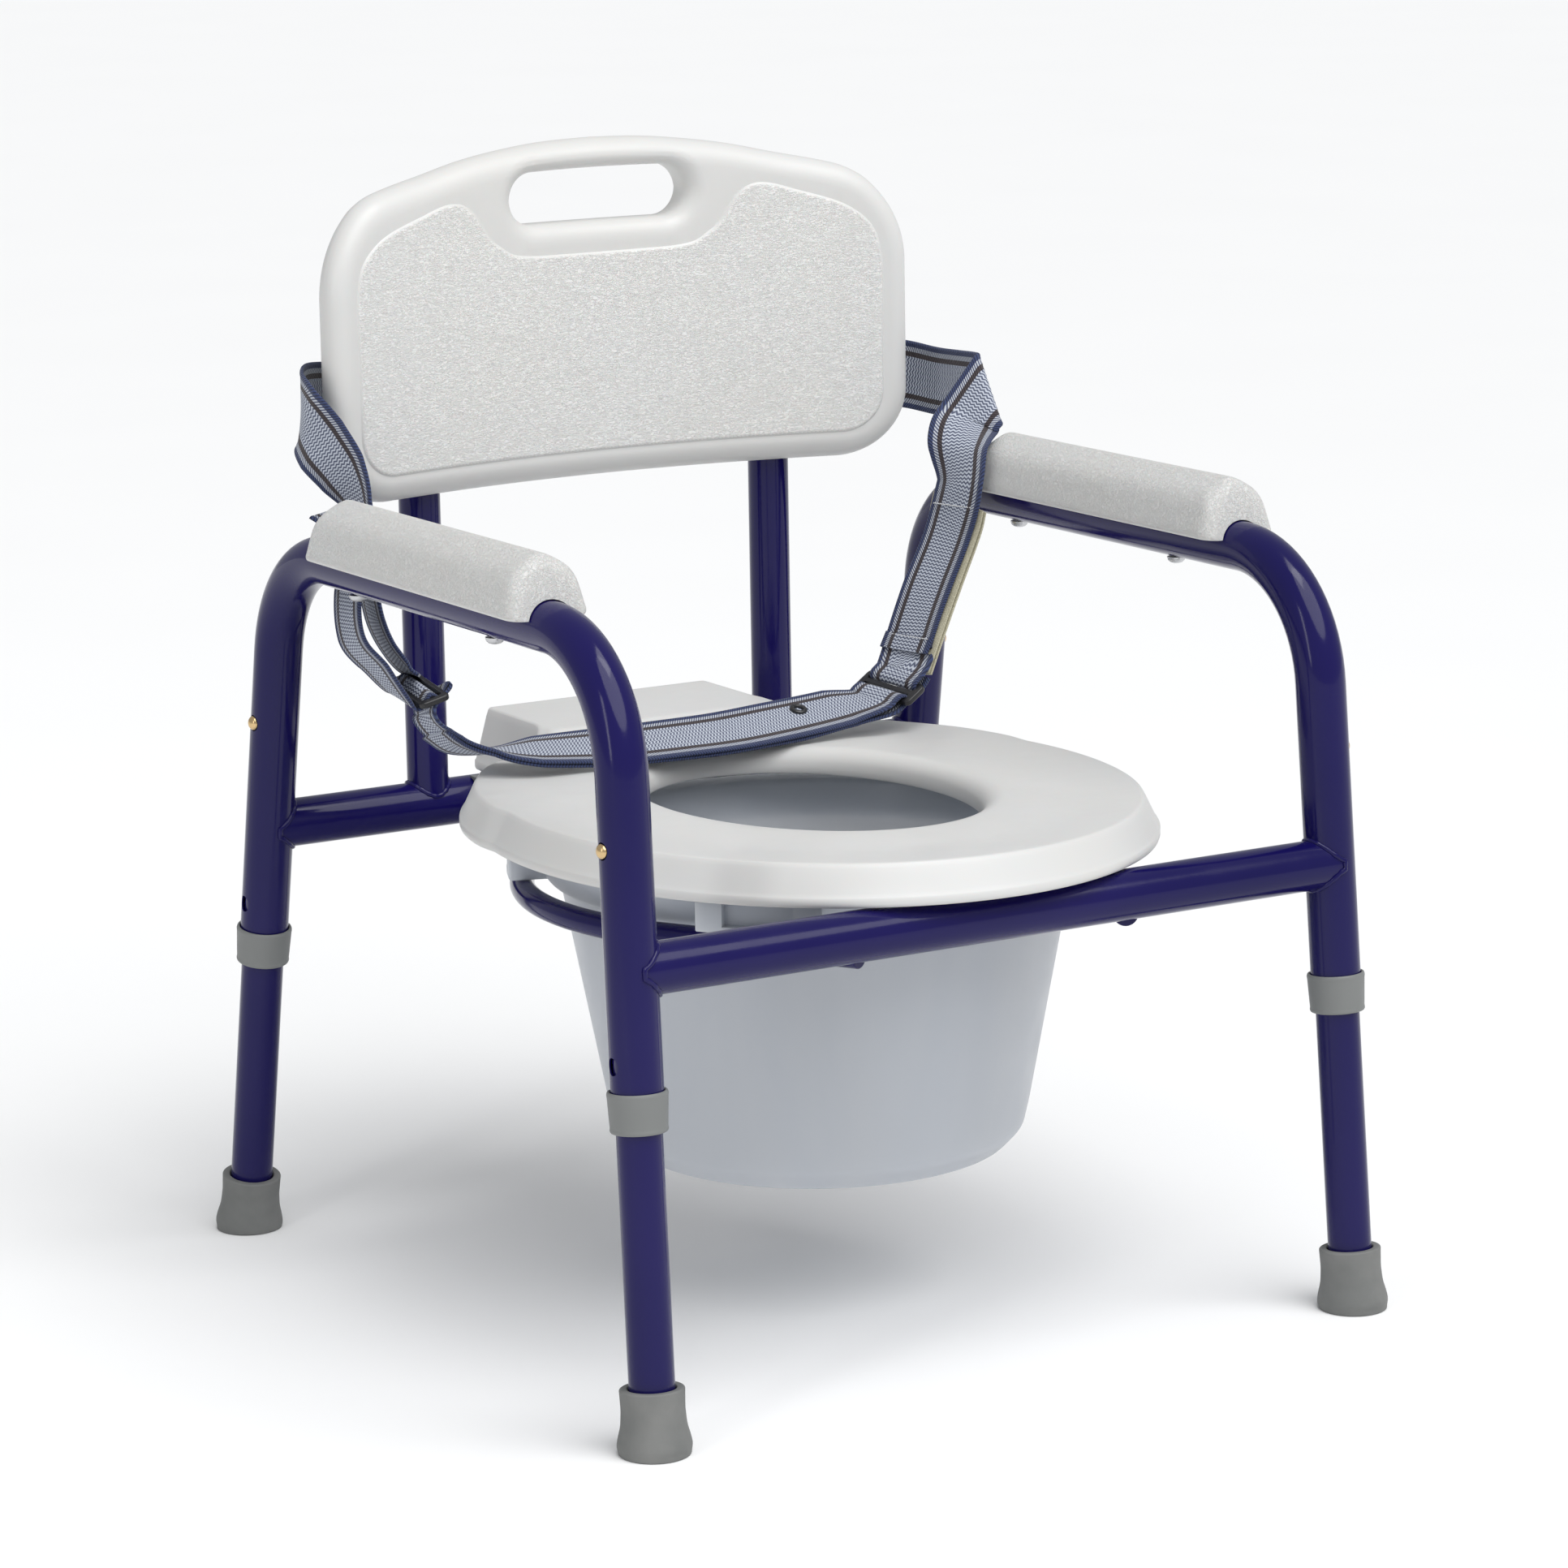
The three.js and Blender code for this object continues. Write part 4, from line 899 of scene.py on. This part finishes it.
def backrest_panel():
    outline, hole, border = panel_outline(), handle_hole(), grain_border()
    rings = offset_rings(outline, 0.35, 1.0, 2.0, 3.3, 5.0, 7.2, 10.0, PANEL_EDGE)
    rings += offset_rings(hole, -0.3, -0.9, -1.8, -3.0, -4.6, -6.8, -HANDLE_EDGE)
    top = triangulate(outline, hole, rings + offset_rings(border, -1.5, -0.75, 0.0, 0.75, 1.5), 4.5)
    bottom = triangulate(outline, hole, rings, 5.0)

    def front(points):
        return PANEL_CENTRE_Y - PANEL_SWEEP * (points[:, 0] / PANEL_HALF_WIDTH) ** 2

    def fall(points):
        edges = rounding(ring_distance(points, outline), PANEL_EDGE)
        return np.minimum(edges + rounding(ring_distance(points, hole), HANDLE_EDGE), PANEL_THICKNESS / 2)

    def face(points):
        signed = ring_distance(points, border) * np.where(in_ring(points, border), 1, -1)
        raised = 0.85 * ramp(signed, -0.9, 0.9) - 0.35 * np.exp(-((signed + 1.1) / 0.8) ** 2)
        return front(points) + fall(points) - raised

    def back(points):
        rear = front(points) + PANEL_THICKNESS
        away = np.abs(np.abs(points[:, 0]) - POST_X)
        boss = np.clip(BOSS_Y - rear, 0, 20) * (1 - ramp(away, 10, 20))
        return rear + boss * ramp(ring_distance(points, outline), 0, 12) - fall(points)

    obj = plate("backrest_moulding", top, bottom, face, back, "white_plastic", lambda x, z, y: (x, y, z))
    carve(obj, *[bar((x, REAR_BAR_Y, PANEL_BOTTOM - 20), (x, REAR_BAR_Y, POST_TOP + 2), LEG_RADIUS + 0.75)
                 for x in (-POST_X, POST_X)])
    centres = np.array([tuple(p.center) for p in obj.data.polygons]) / MM
    plan = centres[:, [0, 2]]
    faces_front = np.array([p.normal.y < -0.3 for p in obj.data.polygons])
    ahead = centres[:, 1] < front(plan) + 6
    # The grained front field gets the brighter white look, painted light on the backrest's front; its rim and
    # back stay plain white plastic.
    give_grain(obj, "panel_grain_and_painted_light", in_ring(plan, offset_ring(border, 0.4)) & faces_front & ahead)
    finish(obj, "frame", "white_plastic", "backrest_panel")


# ---------------- seat
SEAT_CENTRE_Y, SEAT_HALF_WIDTH, SEAT_HALF_LENGTH = -39.0, 168.0, 191.5
SEAT_BOTTOM, SEAT_TOP, BLOCK_RISE, BLOCK_REAR = 242.9, 263.5, 13.0, 199.0
SHELL_CEILING, HOLE_LIP_BOTTOM, SEAT_LIP = 255.5, 249.5, 6.0
SEAT_CREASE = 8.0


def seat_outline():
    front = arc(0, SEAT_CENTRE_Y, SEAT_HALF_WIDTH, -90, 12, 70, SEAT_HALF_LENGTH)
    shoulder = smooth_run([front[-1], (164, 20), (154.5, 56), (135, 91.5), (116.5, 114.5), (104, 123),
                           (92, 125.2)])
    corner = [(84, 126), (79.5, 128.5), (77, 133), (76, 139), (76, BLOCK_REAR - 11)]
    rear = arc(65, BLOCK_REAR - 11, 11, 0, 90, 10)
    return resample(mirrored(front[:-1] + shoulder + corner + rear + [(0, BLOCK_REAR)]), 3.0)


def seat():
    outline = seat_outline()
    hole = resample(arc(0, -35, 79, 0, 356, 89, 106), 3.0)
    rings = offset_rings(outline, 0.5, 1.6, 3.2, 5.2, 6.8, SEAT_CREASE, 9.0, 10.5)
    rings += offset_rings(hole, -0.35, -1.0, -2.0, -3.4, -5.2, -7.4, -10.0)
    top = triangulate(outline, hole, rings, 3.2)
    rings = offset_rings(outline, 0.5, 1.5, 3.0, SEAT_LIP, SEAT_LIP + 0.4)
    rings += offset_rings(hole, -0.6, -1.5, -SEAT_LIP, -SEAT_LIP - 0.4)
    bottom = triangulate(outline, hole, rings, 5.5)

    def upper(points):
        from_edge, from_hole = ring_distance(points, outline), ring_distance(points, hole)
        x, y = np.abs(points[:, 0]), points[:, 1]
        block_here = (1 - eased(x, 70, 82, 2.2)) * eased(y, 98, 112, 2.2)
        dish = 1.2 * np.exp(-((from_edge - 40) / 22) ** 2) * (1 - block_here)
        level = SEAT_TOP + BLOCK_RISE * block_here - dish - rounding(from_hole, 10)
        low = SEAT_BOTTOM + 4.5
        return low + (level - low) * eased(from_edge, 0.4, SEAT_CREASE, 0.9)

    def lower(points):
        from_edge, from_hole = ring_distance(points, outline), ring_distance(points, hole)
        shell = np.where(points[:, 1] < 117, SHELL_CEILING, SEAT_BOTTOM)
        level = np.where(from_edge < SEAT_LIP + 0.1, SEAT_BOTTOM, shell)
        level = np.where(from_hole < SEAT_LIP + 0.1, HOLE_LIP_BOTTOM, level)
        return level + rounding(from_edge, 1.8) + rounding(from_hole, 1.2) * (from_hole < 1.5)

    obj = plate("seat_moulding", top, bottom, upper, lower, "white_plastic")
    finish(soften(obj, 50), "seat", "white_plastic", "seat_ring")


def seat_clip(label, side):
    inner, outer = TUBE_RADIUS + 0.5, TUBE_RADIUS + 3.8
    top = SEAT_BOTTOM - 0.3 - BAR_HEIGHT
    outline = arc(0, 0, outer, 25, -150, 32) + arc(0, 0, inner, -150, 75, 40)
    outline += [(inner * math.cos(math.radians(75)), top), (outer * math.cos(math.radians(25)), top)]
    obj = prism(f"seat_clip_hook_{label}", outline, -10, 10, "grey_plastic",
                lambda ahead, up, across: (side * 74 + across, REAR_BAR_Y - ahead, BAR_HEIGHT + up))
    bevel(obj, 0.5, 2, 50)
    finish(obj, "seat", "grey_plastic", f"seat_clip_{label}")


# ---------------- pail
PAIL_CENTRE_Y, PAIL_BOTTOM, PAIL_FOOT, PAIL_MOUTH = -39.0, 77.0, 108.5, 131.0
PAIL_COLLAR, PAIL_RIM, PAIL_SHOULDER, PAIL_TOP, PAIL_WALL = 137.0, 150.0, 221.5, 241.0, 2.6
LUG_BOTTOM, LUG_RADIUS = 223.65, 158.0
LUG_SPANS = [(20, 40), (140, 160), (217, 240), (300, 323)]


def pail_ring(outer, inner, start, end, steps):
    return arc(0, PAIL_CENTRE_Y, outer, start, end, steps) + arc(0, PAIL_CENTRE_Y, inner, end, start, steps)


def pail_lug(start, end):
    """A hollow lug on the rim of the pail, between two angles."""
    outline = pail_ring(LUG_RADIUS, PAIL_MOUTH + 3, start, end, 14)
    lug = prism("lug", outline, LUG_BOTTOM, PAIL_TOP, "pail_plastic")
    bevel(lug, 1.0, 3, 40)
    middle, width = (start + end) / 2, (end - start) * 0.28
    pocket = pail_ring(LUG_RADIUS + 5, LUG_RADIUS - 5, middle - width, middle + width, 6)
    carve(lug, prism("cutter", pocket, LUG_BOTTOM + 3, PAIL_TOP - 2.5, "pail_plastic"))
    return lug


def pail():
    foot, shoulder, top = PAIL_FOOT, PAIL_SHOULDER - PAIL_BOTTOM, PAIL_TOP - PAIL_BOTTOM
    outside = [(0, 1.2), (foot - 30, 1.2), (foot - 24, 0), (foot - 12, 1.5), (foot - 3, 11), (foot, 24),
               (PAIL_MOUTH, shoulder - 1.5), (PAIL_COLLAR, shoulder), (PAIL_RIM, top)]
    inside = [(PAIL_MOUTH, top), (PAIL_MOUTH - PAIL_WALL, shoulder), (foot - PAIL_WALL, 24.5),
              (foot - 5.6, 13), (foot - 14, 5), (foot - 26, 3.6), (0, 3.6)]
    centre = (0, PAIL_CENTRE_Y, PAIL_BOTTOM)
    obj = lathe("pail_moulding", rounded(outside + inside, 3.0, 4), "pail_plastic", centre, sides=128)
    carve(obj, *[pail_lug(start, end) for start, end in LUG_SPANS], operation="UNION")
    finish(obj, "pail", "pail_plastic", "pail")


# ---------------- strap
STRAP_WIDTH, STRAP_THICKNESS = 38.0, 1.8
FOLD_SLANT, FOLD_TURN, FOLD_RADIUS = math.radians(54), math.radians(130), 2.2
FOLD_CORNER = np.array([199.6, 102.0, 437.0])
UP = (0, 0, 1)
STRAP_BACK = [
    ((203.8, 138, 435.3), (0, 0.04, 1)),
    ((205, 163, 434.5), (0, 0.06, 1)),
    ((197, 187, 437), UP),
    ((176, 199, 439), UP),
    ((107.6, 203.5, 440), UP),
    ((0, 203.5, 442), UP),
    ((-107.6, 203.5, 446), UP),
    ((-140, 198, 450), UP),
    ((-160, 189, 452.5), UP),
    ((-174.5, 178, 453.8), UP),
]
STRAP_LEFT = [
    ((-183, 166, 452), (0, -0.1, 1)),
    ((-187, 153, 447), (0.08, -0.32, 0.94)),
    ((-185, 140.5, 435.5), (0.3, -0.56, 0.76)),
    ((-179, 129.5, 421.5), (0.21, -0.78, 0.58)),
    ((-174, 122, 405), (-0.1, -0.95, 0.25)),
    ((-176, 118.5, 384), (-0.18, -0.98, 0.05)),
    ((-184, 117.5, 361), (-0.1, -0.98, 0.1)),
    ((-183, 115, 336), (-0.1, -0.95, 0.25)),
    ((-173.5, 112, 322.5), (-0.15, -0.93, 0.3)),
]
STRAP_TAIL = [
    ((-146.5, 113, 314.5), (0.08, 0.97, 0.05)),
    ((-152, 117, 318.5), (0.12, 0.97, -0.05)),
    ((-158.5, 123, 328.5), (0.2, 0.97, -0.1)),
    ((-163.5, 127.5, 342), (0.2, 0.97, -0.1)),
    ((-166, 130, 360), (0.2, 0.97, 0.0)),
    ((-158, 147, 380), (0.2, 0.97, 0.1)),
    ((-170, 166, 396), (0.5, 0.8, 0.3)),
]
STRAP_LAP = [
    ((-148, 105, 294.5), (0.18, 0.93, -0.3)),
    ((-143, 104, 285.5), (0.17, 0.92, -0.34)),
    ((-134, 101, 278.5), (0.15, 0.93, -0.3)),
    ((-116, 93, 274), (0.1, 0.97, -0.12)),
    ((-94, 84, 272.8), (0.03, 0.98, 0.18)),
    ((-50, 75, 272.3), (0, 0.94, 0.33)),
    ((0, 72, 272.3), (0, 0.94, 0.33)),
    ((48, 75, 273.5), (0, 0.94, 0.33)),
    ((86, 77, 276.5), (0, 0.96, 0.3)),
    ((105, 77, 279.3), (0, 0.97, 0.25)),
]
STRAP_RIGHT = [
    ((132, 83, 301), (-0.1, 0.99, 0.05)),
    ((150, 89, 334.5), (-0.15, 0.98, 0.05)),
    ((165, 90, 364.5), (-0.15, 0.98, 0.0)),
    ((170, 86, 390.5), (-0.12, 0.99, 0.0)),
    ((173.2, 91, 407.5), (-0.25, 0.93, 0.22)),
]
RIGHT_RUN = unit((37, 7, 62))
HEM_LOW = np.array([132.3, 83.1, 301.5])


def web_section(width, thickness, corded=True):
    """Half the loop of a strap's section: how far across, and half the thickness there."""
    half = width / 2
    if not corded:
        thick, thin = thickness / 2, thickness / 2 * 0.55
        return [(a, thick if abs(a) < half - 0.1 else thin) for a in np.linspace(-half, half, 17)]
    cord = 1.5
    centre = half - cord
    left = []
    across = (-half, -half + 0.35, -half + 1.0, -centre, -centre + 0.9, -centre + cord + 0.2, -13.2, -12.9)
    for a in (*across, -10, -7, -3.5, 0):
        t = thickness / 2 - 0.12
        if -a > centre - cord:
            t = 1.05 * math.sqrt(max(cord ** 2 - (a + centre) ** 2, 0)) / cord
            t = max(t, 0.12 if a == -half else 0.5)
        left.append((a, t))
    return left + [(-a, t) for a, t in reversed(left[:-1])]


def web_rows(stations, step=1.1):
    """Centre, width direction and normal along a strap through stations."""
    points, spans = spline([at for at, _ in stations], step)
    across = np.array([unit(a) for _, a in stations])
    rows = []
    for point, along, span in zip(points, directions_along(points), spans):
        k = min(int(span), len(stations) - 2)
        side = across[k] * (1 - (span - k)) + across[k + 1] * (span - k)
        side = unit(side - side.dot(along) * along)
        rows.append((point, side, np.cross(along, side)))
    return rows


def wavy(index, centre, side, normal):
    """A row as a function of the way across, with the slight ripple and curl of used webbing."""
    ripple = 0.16 * math.sin(index * 0.11) + 0.1 * math.sin(index * 0.043 + 1.3)

    def place(a):
        curl = 0.22 * math.sin(index * 0.031 + a * 0.09)
        return centre + a * side + (ripple + curl) * normal, normal
    return place


def web_mesh(name, rows, section, look="webbing"):
    """A strap from rows. A row is (centre, across, normal), or a function of the way across."""
    verts, uvs, length, before = [], [], 0.0, None
    for index, row in enumerate(rows):
        place = row if callable(row) else wavy(index, *row)
        middle = place(0.0)[0]
        if before is not None:
            length += np.linalg.norm(middle - before)
        before = middle
        for sign, part in ((-1, section), (1, section[::-1])):
            for a, t in part:
                point, normal = place(a)
                verts.append(point + sign * t * normal)
                uvs.append((0.5 + a / WEB_TEXTURE, length / WEB_TEXTURE))
    obj = solid(name, verts, swept_faces(len(rows), 2 * len(section)), look, 60)
    layer = obj.data.uv_layers.new(name="web")
    for loop in obj.data.loops:
        layer.data[loop.index].uv = uvs[loop.vertex_index]
    return obj


def square_across(across, along):
    across = np.array(across, float)
    return unit(across - across.dot(along) * along)


def fold_rows(first, last, step=0.8):
    """The strap turned over a slanting line above the right arm."""
    ahead = unit((-0.12, -0.99, 0.04))
    across = square_across(unit((0, 0.04, 1)), ahead)
    inward = np.cross(ahead, across)
    sin, cos = math.sin(FOLD_SLANT), math.cos(FOLD_SLANT)
    line, over = cos * ahead - sin * across, sin * ahead + cos * across
    beyond = math.cos(FOLD_TURN) * over + math.sin(FOLD_TURN) * inward

    def place(s, c):
        p, q = s * cos - c * sin, s * sin + c * cos
        if q <= 0:
            return FOLD_CORNER + p * line + q * over, inward
        angle = min(q / FOLD_RADIUS, FOLD_TURN)
        around = FOLD_RADIUS * (math.sin(angle) * over + (1 - math.cos(angle)) * inward)
        point = FOLD_CORNER + p * line + around + max(q - FOLD_RADIUS * FOLD_TURN, 0) * beyond
        return point, math.cos(angle) * inward - math.sin(angle) * over

    rows = [lambda a, s=s: place(s, a) for s in np.arange(first, last + 0.01, step)]
    return rows, ahead, across, place(last, 0)[0], cos * line + sin * beyond, cos * beyond - sin * line


def buckle_frame(centre, along, across):
    """A buckle's middle, and its directions ahead, across and up."""
    x = unit(along)
    y = square_across(across, x)
    return np.array(centre), x, y, np.cross(x, y)


ADJUSTER = buckle_frame((-150.0, 109, 308.5), (9.6, -0.8, 2.5), (0.05, 0.97, 0.12))
LADDER_LOCK = buckle_frame((117.5, 77.0, 284.5), (10, 1, 6.5), (0, 0.98, 0.15))
OVER_MIDDLE = [(8.6, -2.9), (5.6, -2.4), (3.3, 0.1), (0, 2.6), (-3.3, 0.1), (-5.6, -2.4), (-8.6, -2.9)]
ROUND_NEAR_BAR = [(-13.6, -2.2), (-9.4, -2.9), (-5.4, -2.6), (-3.3, 0), (-5.4, 2.7), (-9.4, 3.2),
                  (-13.6, 2.9)]
ROUND_FAR_BAR = [(13.5, 3.6), (9.2, 3.0), (5.4, 2.6), (3.3, 0), (5.4, -2.6), (9.2, -2.9), (14.5, -1.2)]


def threaded(buckle, path):
    """Strap stations at (ahead, up) places measured from a buckle's middle."""
    centre, x, y, z = buckle
    return [(centre + u * x + v * z, y) for u, v in path]


def lifted(stations, height):
    """The same stations moved off the seat."""
    return [(at + height * np.array([0, -0.3, 0.95]), across) for at, across in stations]


def beside_right(stations, offset):
    """The same stations moved off the face of the right strap."""
    return [(at + offset * unit(np.cross(RIGHT_RUN, across)), across) for at, across in stations]


def hang(obj, slot, *replaced):
    """Strap pieces stay where they are made, with their placing baked into the mesh, and the parts they
    replace are hidden.
    """
    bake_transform(obj)
    if replaced:
        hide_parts(*replaced)


def main_strap(section):
    rising = lifted(STRAP_LAP[1:-1], -1.1) + threaded(LADDER_LOCK, ROUND_NEAR_BAR)
    rising += lifted(STRAP_LAP[-2::-1], 1.0) + threaded(ADJUSTER, OVER_MIDDLE)
    rising = [(at, -np.array(across)) for at, across in rising]
    rows, ahead, across, leave, leaving, width_after = fold_rows(-15.0, 20.0)
    rising += STRAP_LEFT[::-1] + STRAP_BACK[::-1]
    rising += [(FOLD_CORNER - 21 * ahead, across), (FOLD_CORNER - 15 * ahead, across)]
    falling = [(leave, width_after), (leave + 3 * leaving, width_after)]
    falling += [((178.6, 96.5, 416), (-0.36, 0.86, 0.34))] + STRAP_RIGHT[::-1]
    falling += threaded(LADDER_LOCK, ROUND_FAR_BAR)
    obj = web_mesh("webbing_strap", web_rows(rising)[:-1] + rows + web_rows(falling)[1:], section)
    hang(obj, "webbing", "strap_back", "strap_left", "strap_lap", "strap_right")


def tapes():
    section = web_section(42, 1.6, corded=False)
    low, high = ((127.3, 81.4, 292.3), (-0.08, 0.99, 0.06)), ((168.3, 87.8, 381), (-0.15, 0.98, 0))
    run = [low, *STRAP_RIGHT[:3], high]
    for name, offset, node in (("loop_tape", -2.3, "loop_strip"), ("hook_tape_layer", -4.5, "hook_strip")):
        hang(web_mesh(name, web_rows(beside_right(run, offset)), section, "hook_tape"), "hook_tape", node)


def hem():
    run = [(HEM_LOW + along * RIGHT_RUN, STRAP_RIGHT[0][1]) for along in (0, 3, 6, 9)]
    hang(web_mesh("webbing_hem", web_rows(beside_right(run, 1.75), 0.6), web_section(38.6, 1.5)), "webbing")


def stitch_line(name, at, across, rise):
    """One thread that dips in and out across the strap, so it shows as a row of stitches."""
    normal, side = unit(np.cross(RIGHT_RUN, across)), square_across(across, RIGHT_RUN)
    points = [at + a * side + (rise + 0.28 * math.sin(a * 2.6)) * normal
              for a in np.linspace(-16.5, 16.5, 190)]
    hang(tube(name, points, 0.32, sides=8, look="stitch_thread"), "webbing")


def flat_buckle(name, buckle, length, width, slot_at, slot_half, node):
    centre, x, y, z = buckle

    def place(u, v, h):
        return centre + u * x + v * y + h * z

    def bowed(u, v, h):
        return place(u, v, h - 0.9 * (v / (width / 2)) ** 2 * 0.6)

    corner = 3.0
    a, b = length / 2 - corner, width / 2 - corner
    outline = []
    for turn, (cx, cy) in enumerate(((a, b), (-a, b), (-a, -b), (a, -b))):
        outline += arc(cx, cy, corner, 90 * turn, 90 * turn + 90, 6)
    obj = prism(name, outline, -1.6, 1.6, "black_plastic", bowed)
    bevel(obj, 0.9, 3, 40)
    end = width / 2 - 3.6 - slot_half
    slots = [arc(middle, end, slot_half, 0, 180, 8) + arc(middle, -end, slot_half, 180, 360, 8)
             for middle in (-slot_at, slot_at)]
    carve(obj, *[prism("cutter", ring, -6, 6, "black_plastic", place) for ring in slots])
    hang(obj, "black_plastic", node)


def strap_eyelet():
    profile = rounded([(2.2, -0.6), (4.6, -0.6), (4.9, 0.4), (4.0, 1.1), (2.7, 1.0), (2.2, 0.2)], 0.5)
    tilt = (0, -math.sin(0.34), math.cos(0.34))
    obj = lathe("eyelet_ring", profile, "black_plastic", (62, 79.5, 278.4), tilt, 40)
    hang(obj, "black_plastic", "strap_eyelet")


def strap():
    section = web_section(STRAP_WIDTH, STRAP_THICKNESS)
    main_strap(section)
    hang(web_mesh("webbing_tail", web_rows(STRAP_TAIL), section), "webbing", "strap_tail")
    tapes()
    hem()
    stitch_line("stitches_above_tape", (167.6, 88.3, 377), (-0.15, 0.98, 0), 0.95)
    stitch_line("stitches_on_hem", HEM_LOW + 8 * RIGHT_RUN, STRAP_RIGHT[0][1], 2.5)
    flat_buckle("adjuster_slide", ADJUSTER, 17, 46, 3.6, 2.1, "strap_adjuster")
    flat_buckle("ladder_lock", LADDER_LOCK, 15, 46, 3.3, 2.0, "strap_buckle")
    strap_eyelet()


# ---------------- studio
def lamp(name, kind, aim, power, point=(0, 0, 0)):
    """A light at a point, turned to face another point."""
    data = bpy.data.lights.new(name, kind)
    data.energy = power
    light = bpy.data.objects.new(name, data)
    light.location = point
    light.rotation_euler = (Vector(aim) - Vector(point)).to_track_quat("-Z", "Y").to_euler()
    bpy.context.scene.collection.objects.link(light)
    return data


def area_light(name, point, aim, size, power):
    data = lamp(name, "AREA", aim, power, point)
    data.shape = "RECTANGLE"
    data.size, data.size_y = size


def floor():
    look = Shader("studio_floor", (0.93, 0.93, 0.93), 0.85)
    look.rough(look.noise(3, 2), 0.8, 0.9)
    LOOKS["floor"] = look.material
    reach = 30 / MM
    corners = [(-reach, -reach, 0), (reach, -reach, 0), (reach, reach, 0), (-reach, reach, 0)]
    obj = new_object("studio_floor", corners, [(0, 1, 2, 3)], "floor")
    obj.location.z = -0.0004


def studio():
    lamp("sun", "SUN", (-0.15, 0.8, -1.2), 2.1).angle = math.radians(55)
    area_light("left_strip", (-1.9, -0.9, 1.1), (0, 0, 0.35), (0.25, 1.3), 4.5)
    area_light("top_panel", (0.3, -0.5, 2.2), (0, 0, 0.3), (0.7, 0.7), 6)
    world = bpy.data.worlds.new("studio")
    world.use_nodes = True
    background = world.node_tree.nodes["Background"].inputs
    background["Color"].default_value = (0.97, 0.985, 1.0, 1)
    background["Strength"].default_value = 0.5
    bpy.context.scene.world = world
    bpy.context.scene.view_settings.view_transform = "Standard"
    floor()


def on_both_sides(*pieces):
    for piece in pieces:
        for label, side in SIDES:
            piece(label, side)


on_both_sides(side_frame)
for label, side, row in LEGS:
    for piece in (leg_tube, leg_tip, leg_collar, leg_button, leg_spring):
        piece(label, side, row)
crossbar("front", -1, FRONT_BAR_Y)
crossbar("rear", 1, REAR_BAR_Y)
on_both_sides(backrest_post, pail_hoop, screws, arm_pad)
backrest_panel()
seat()
on_both_sides(seat_clip)
pail()
strap()
studio()
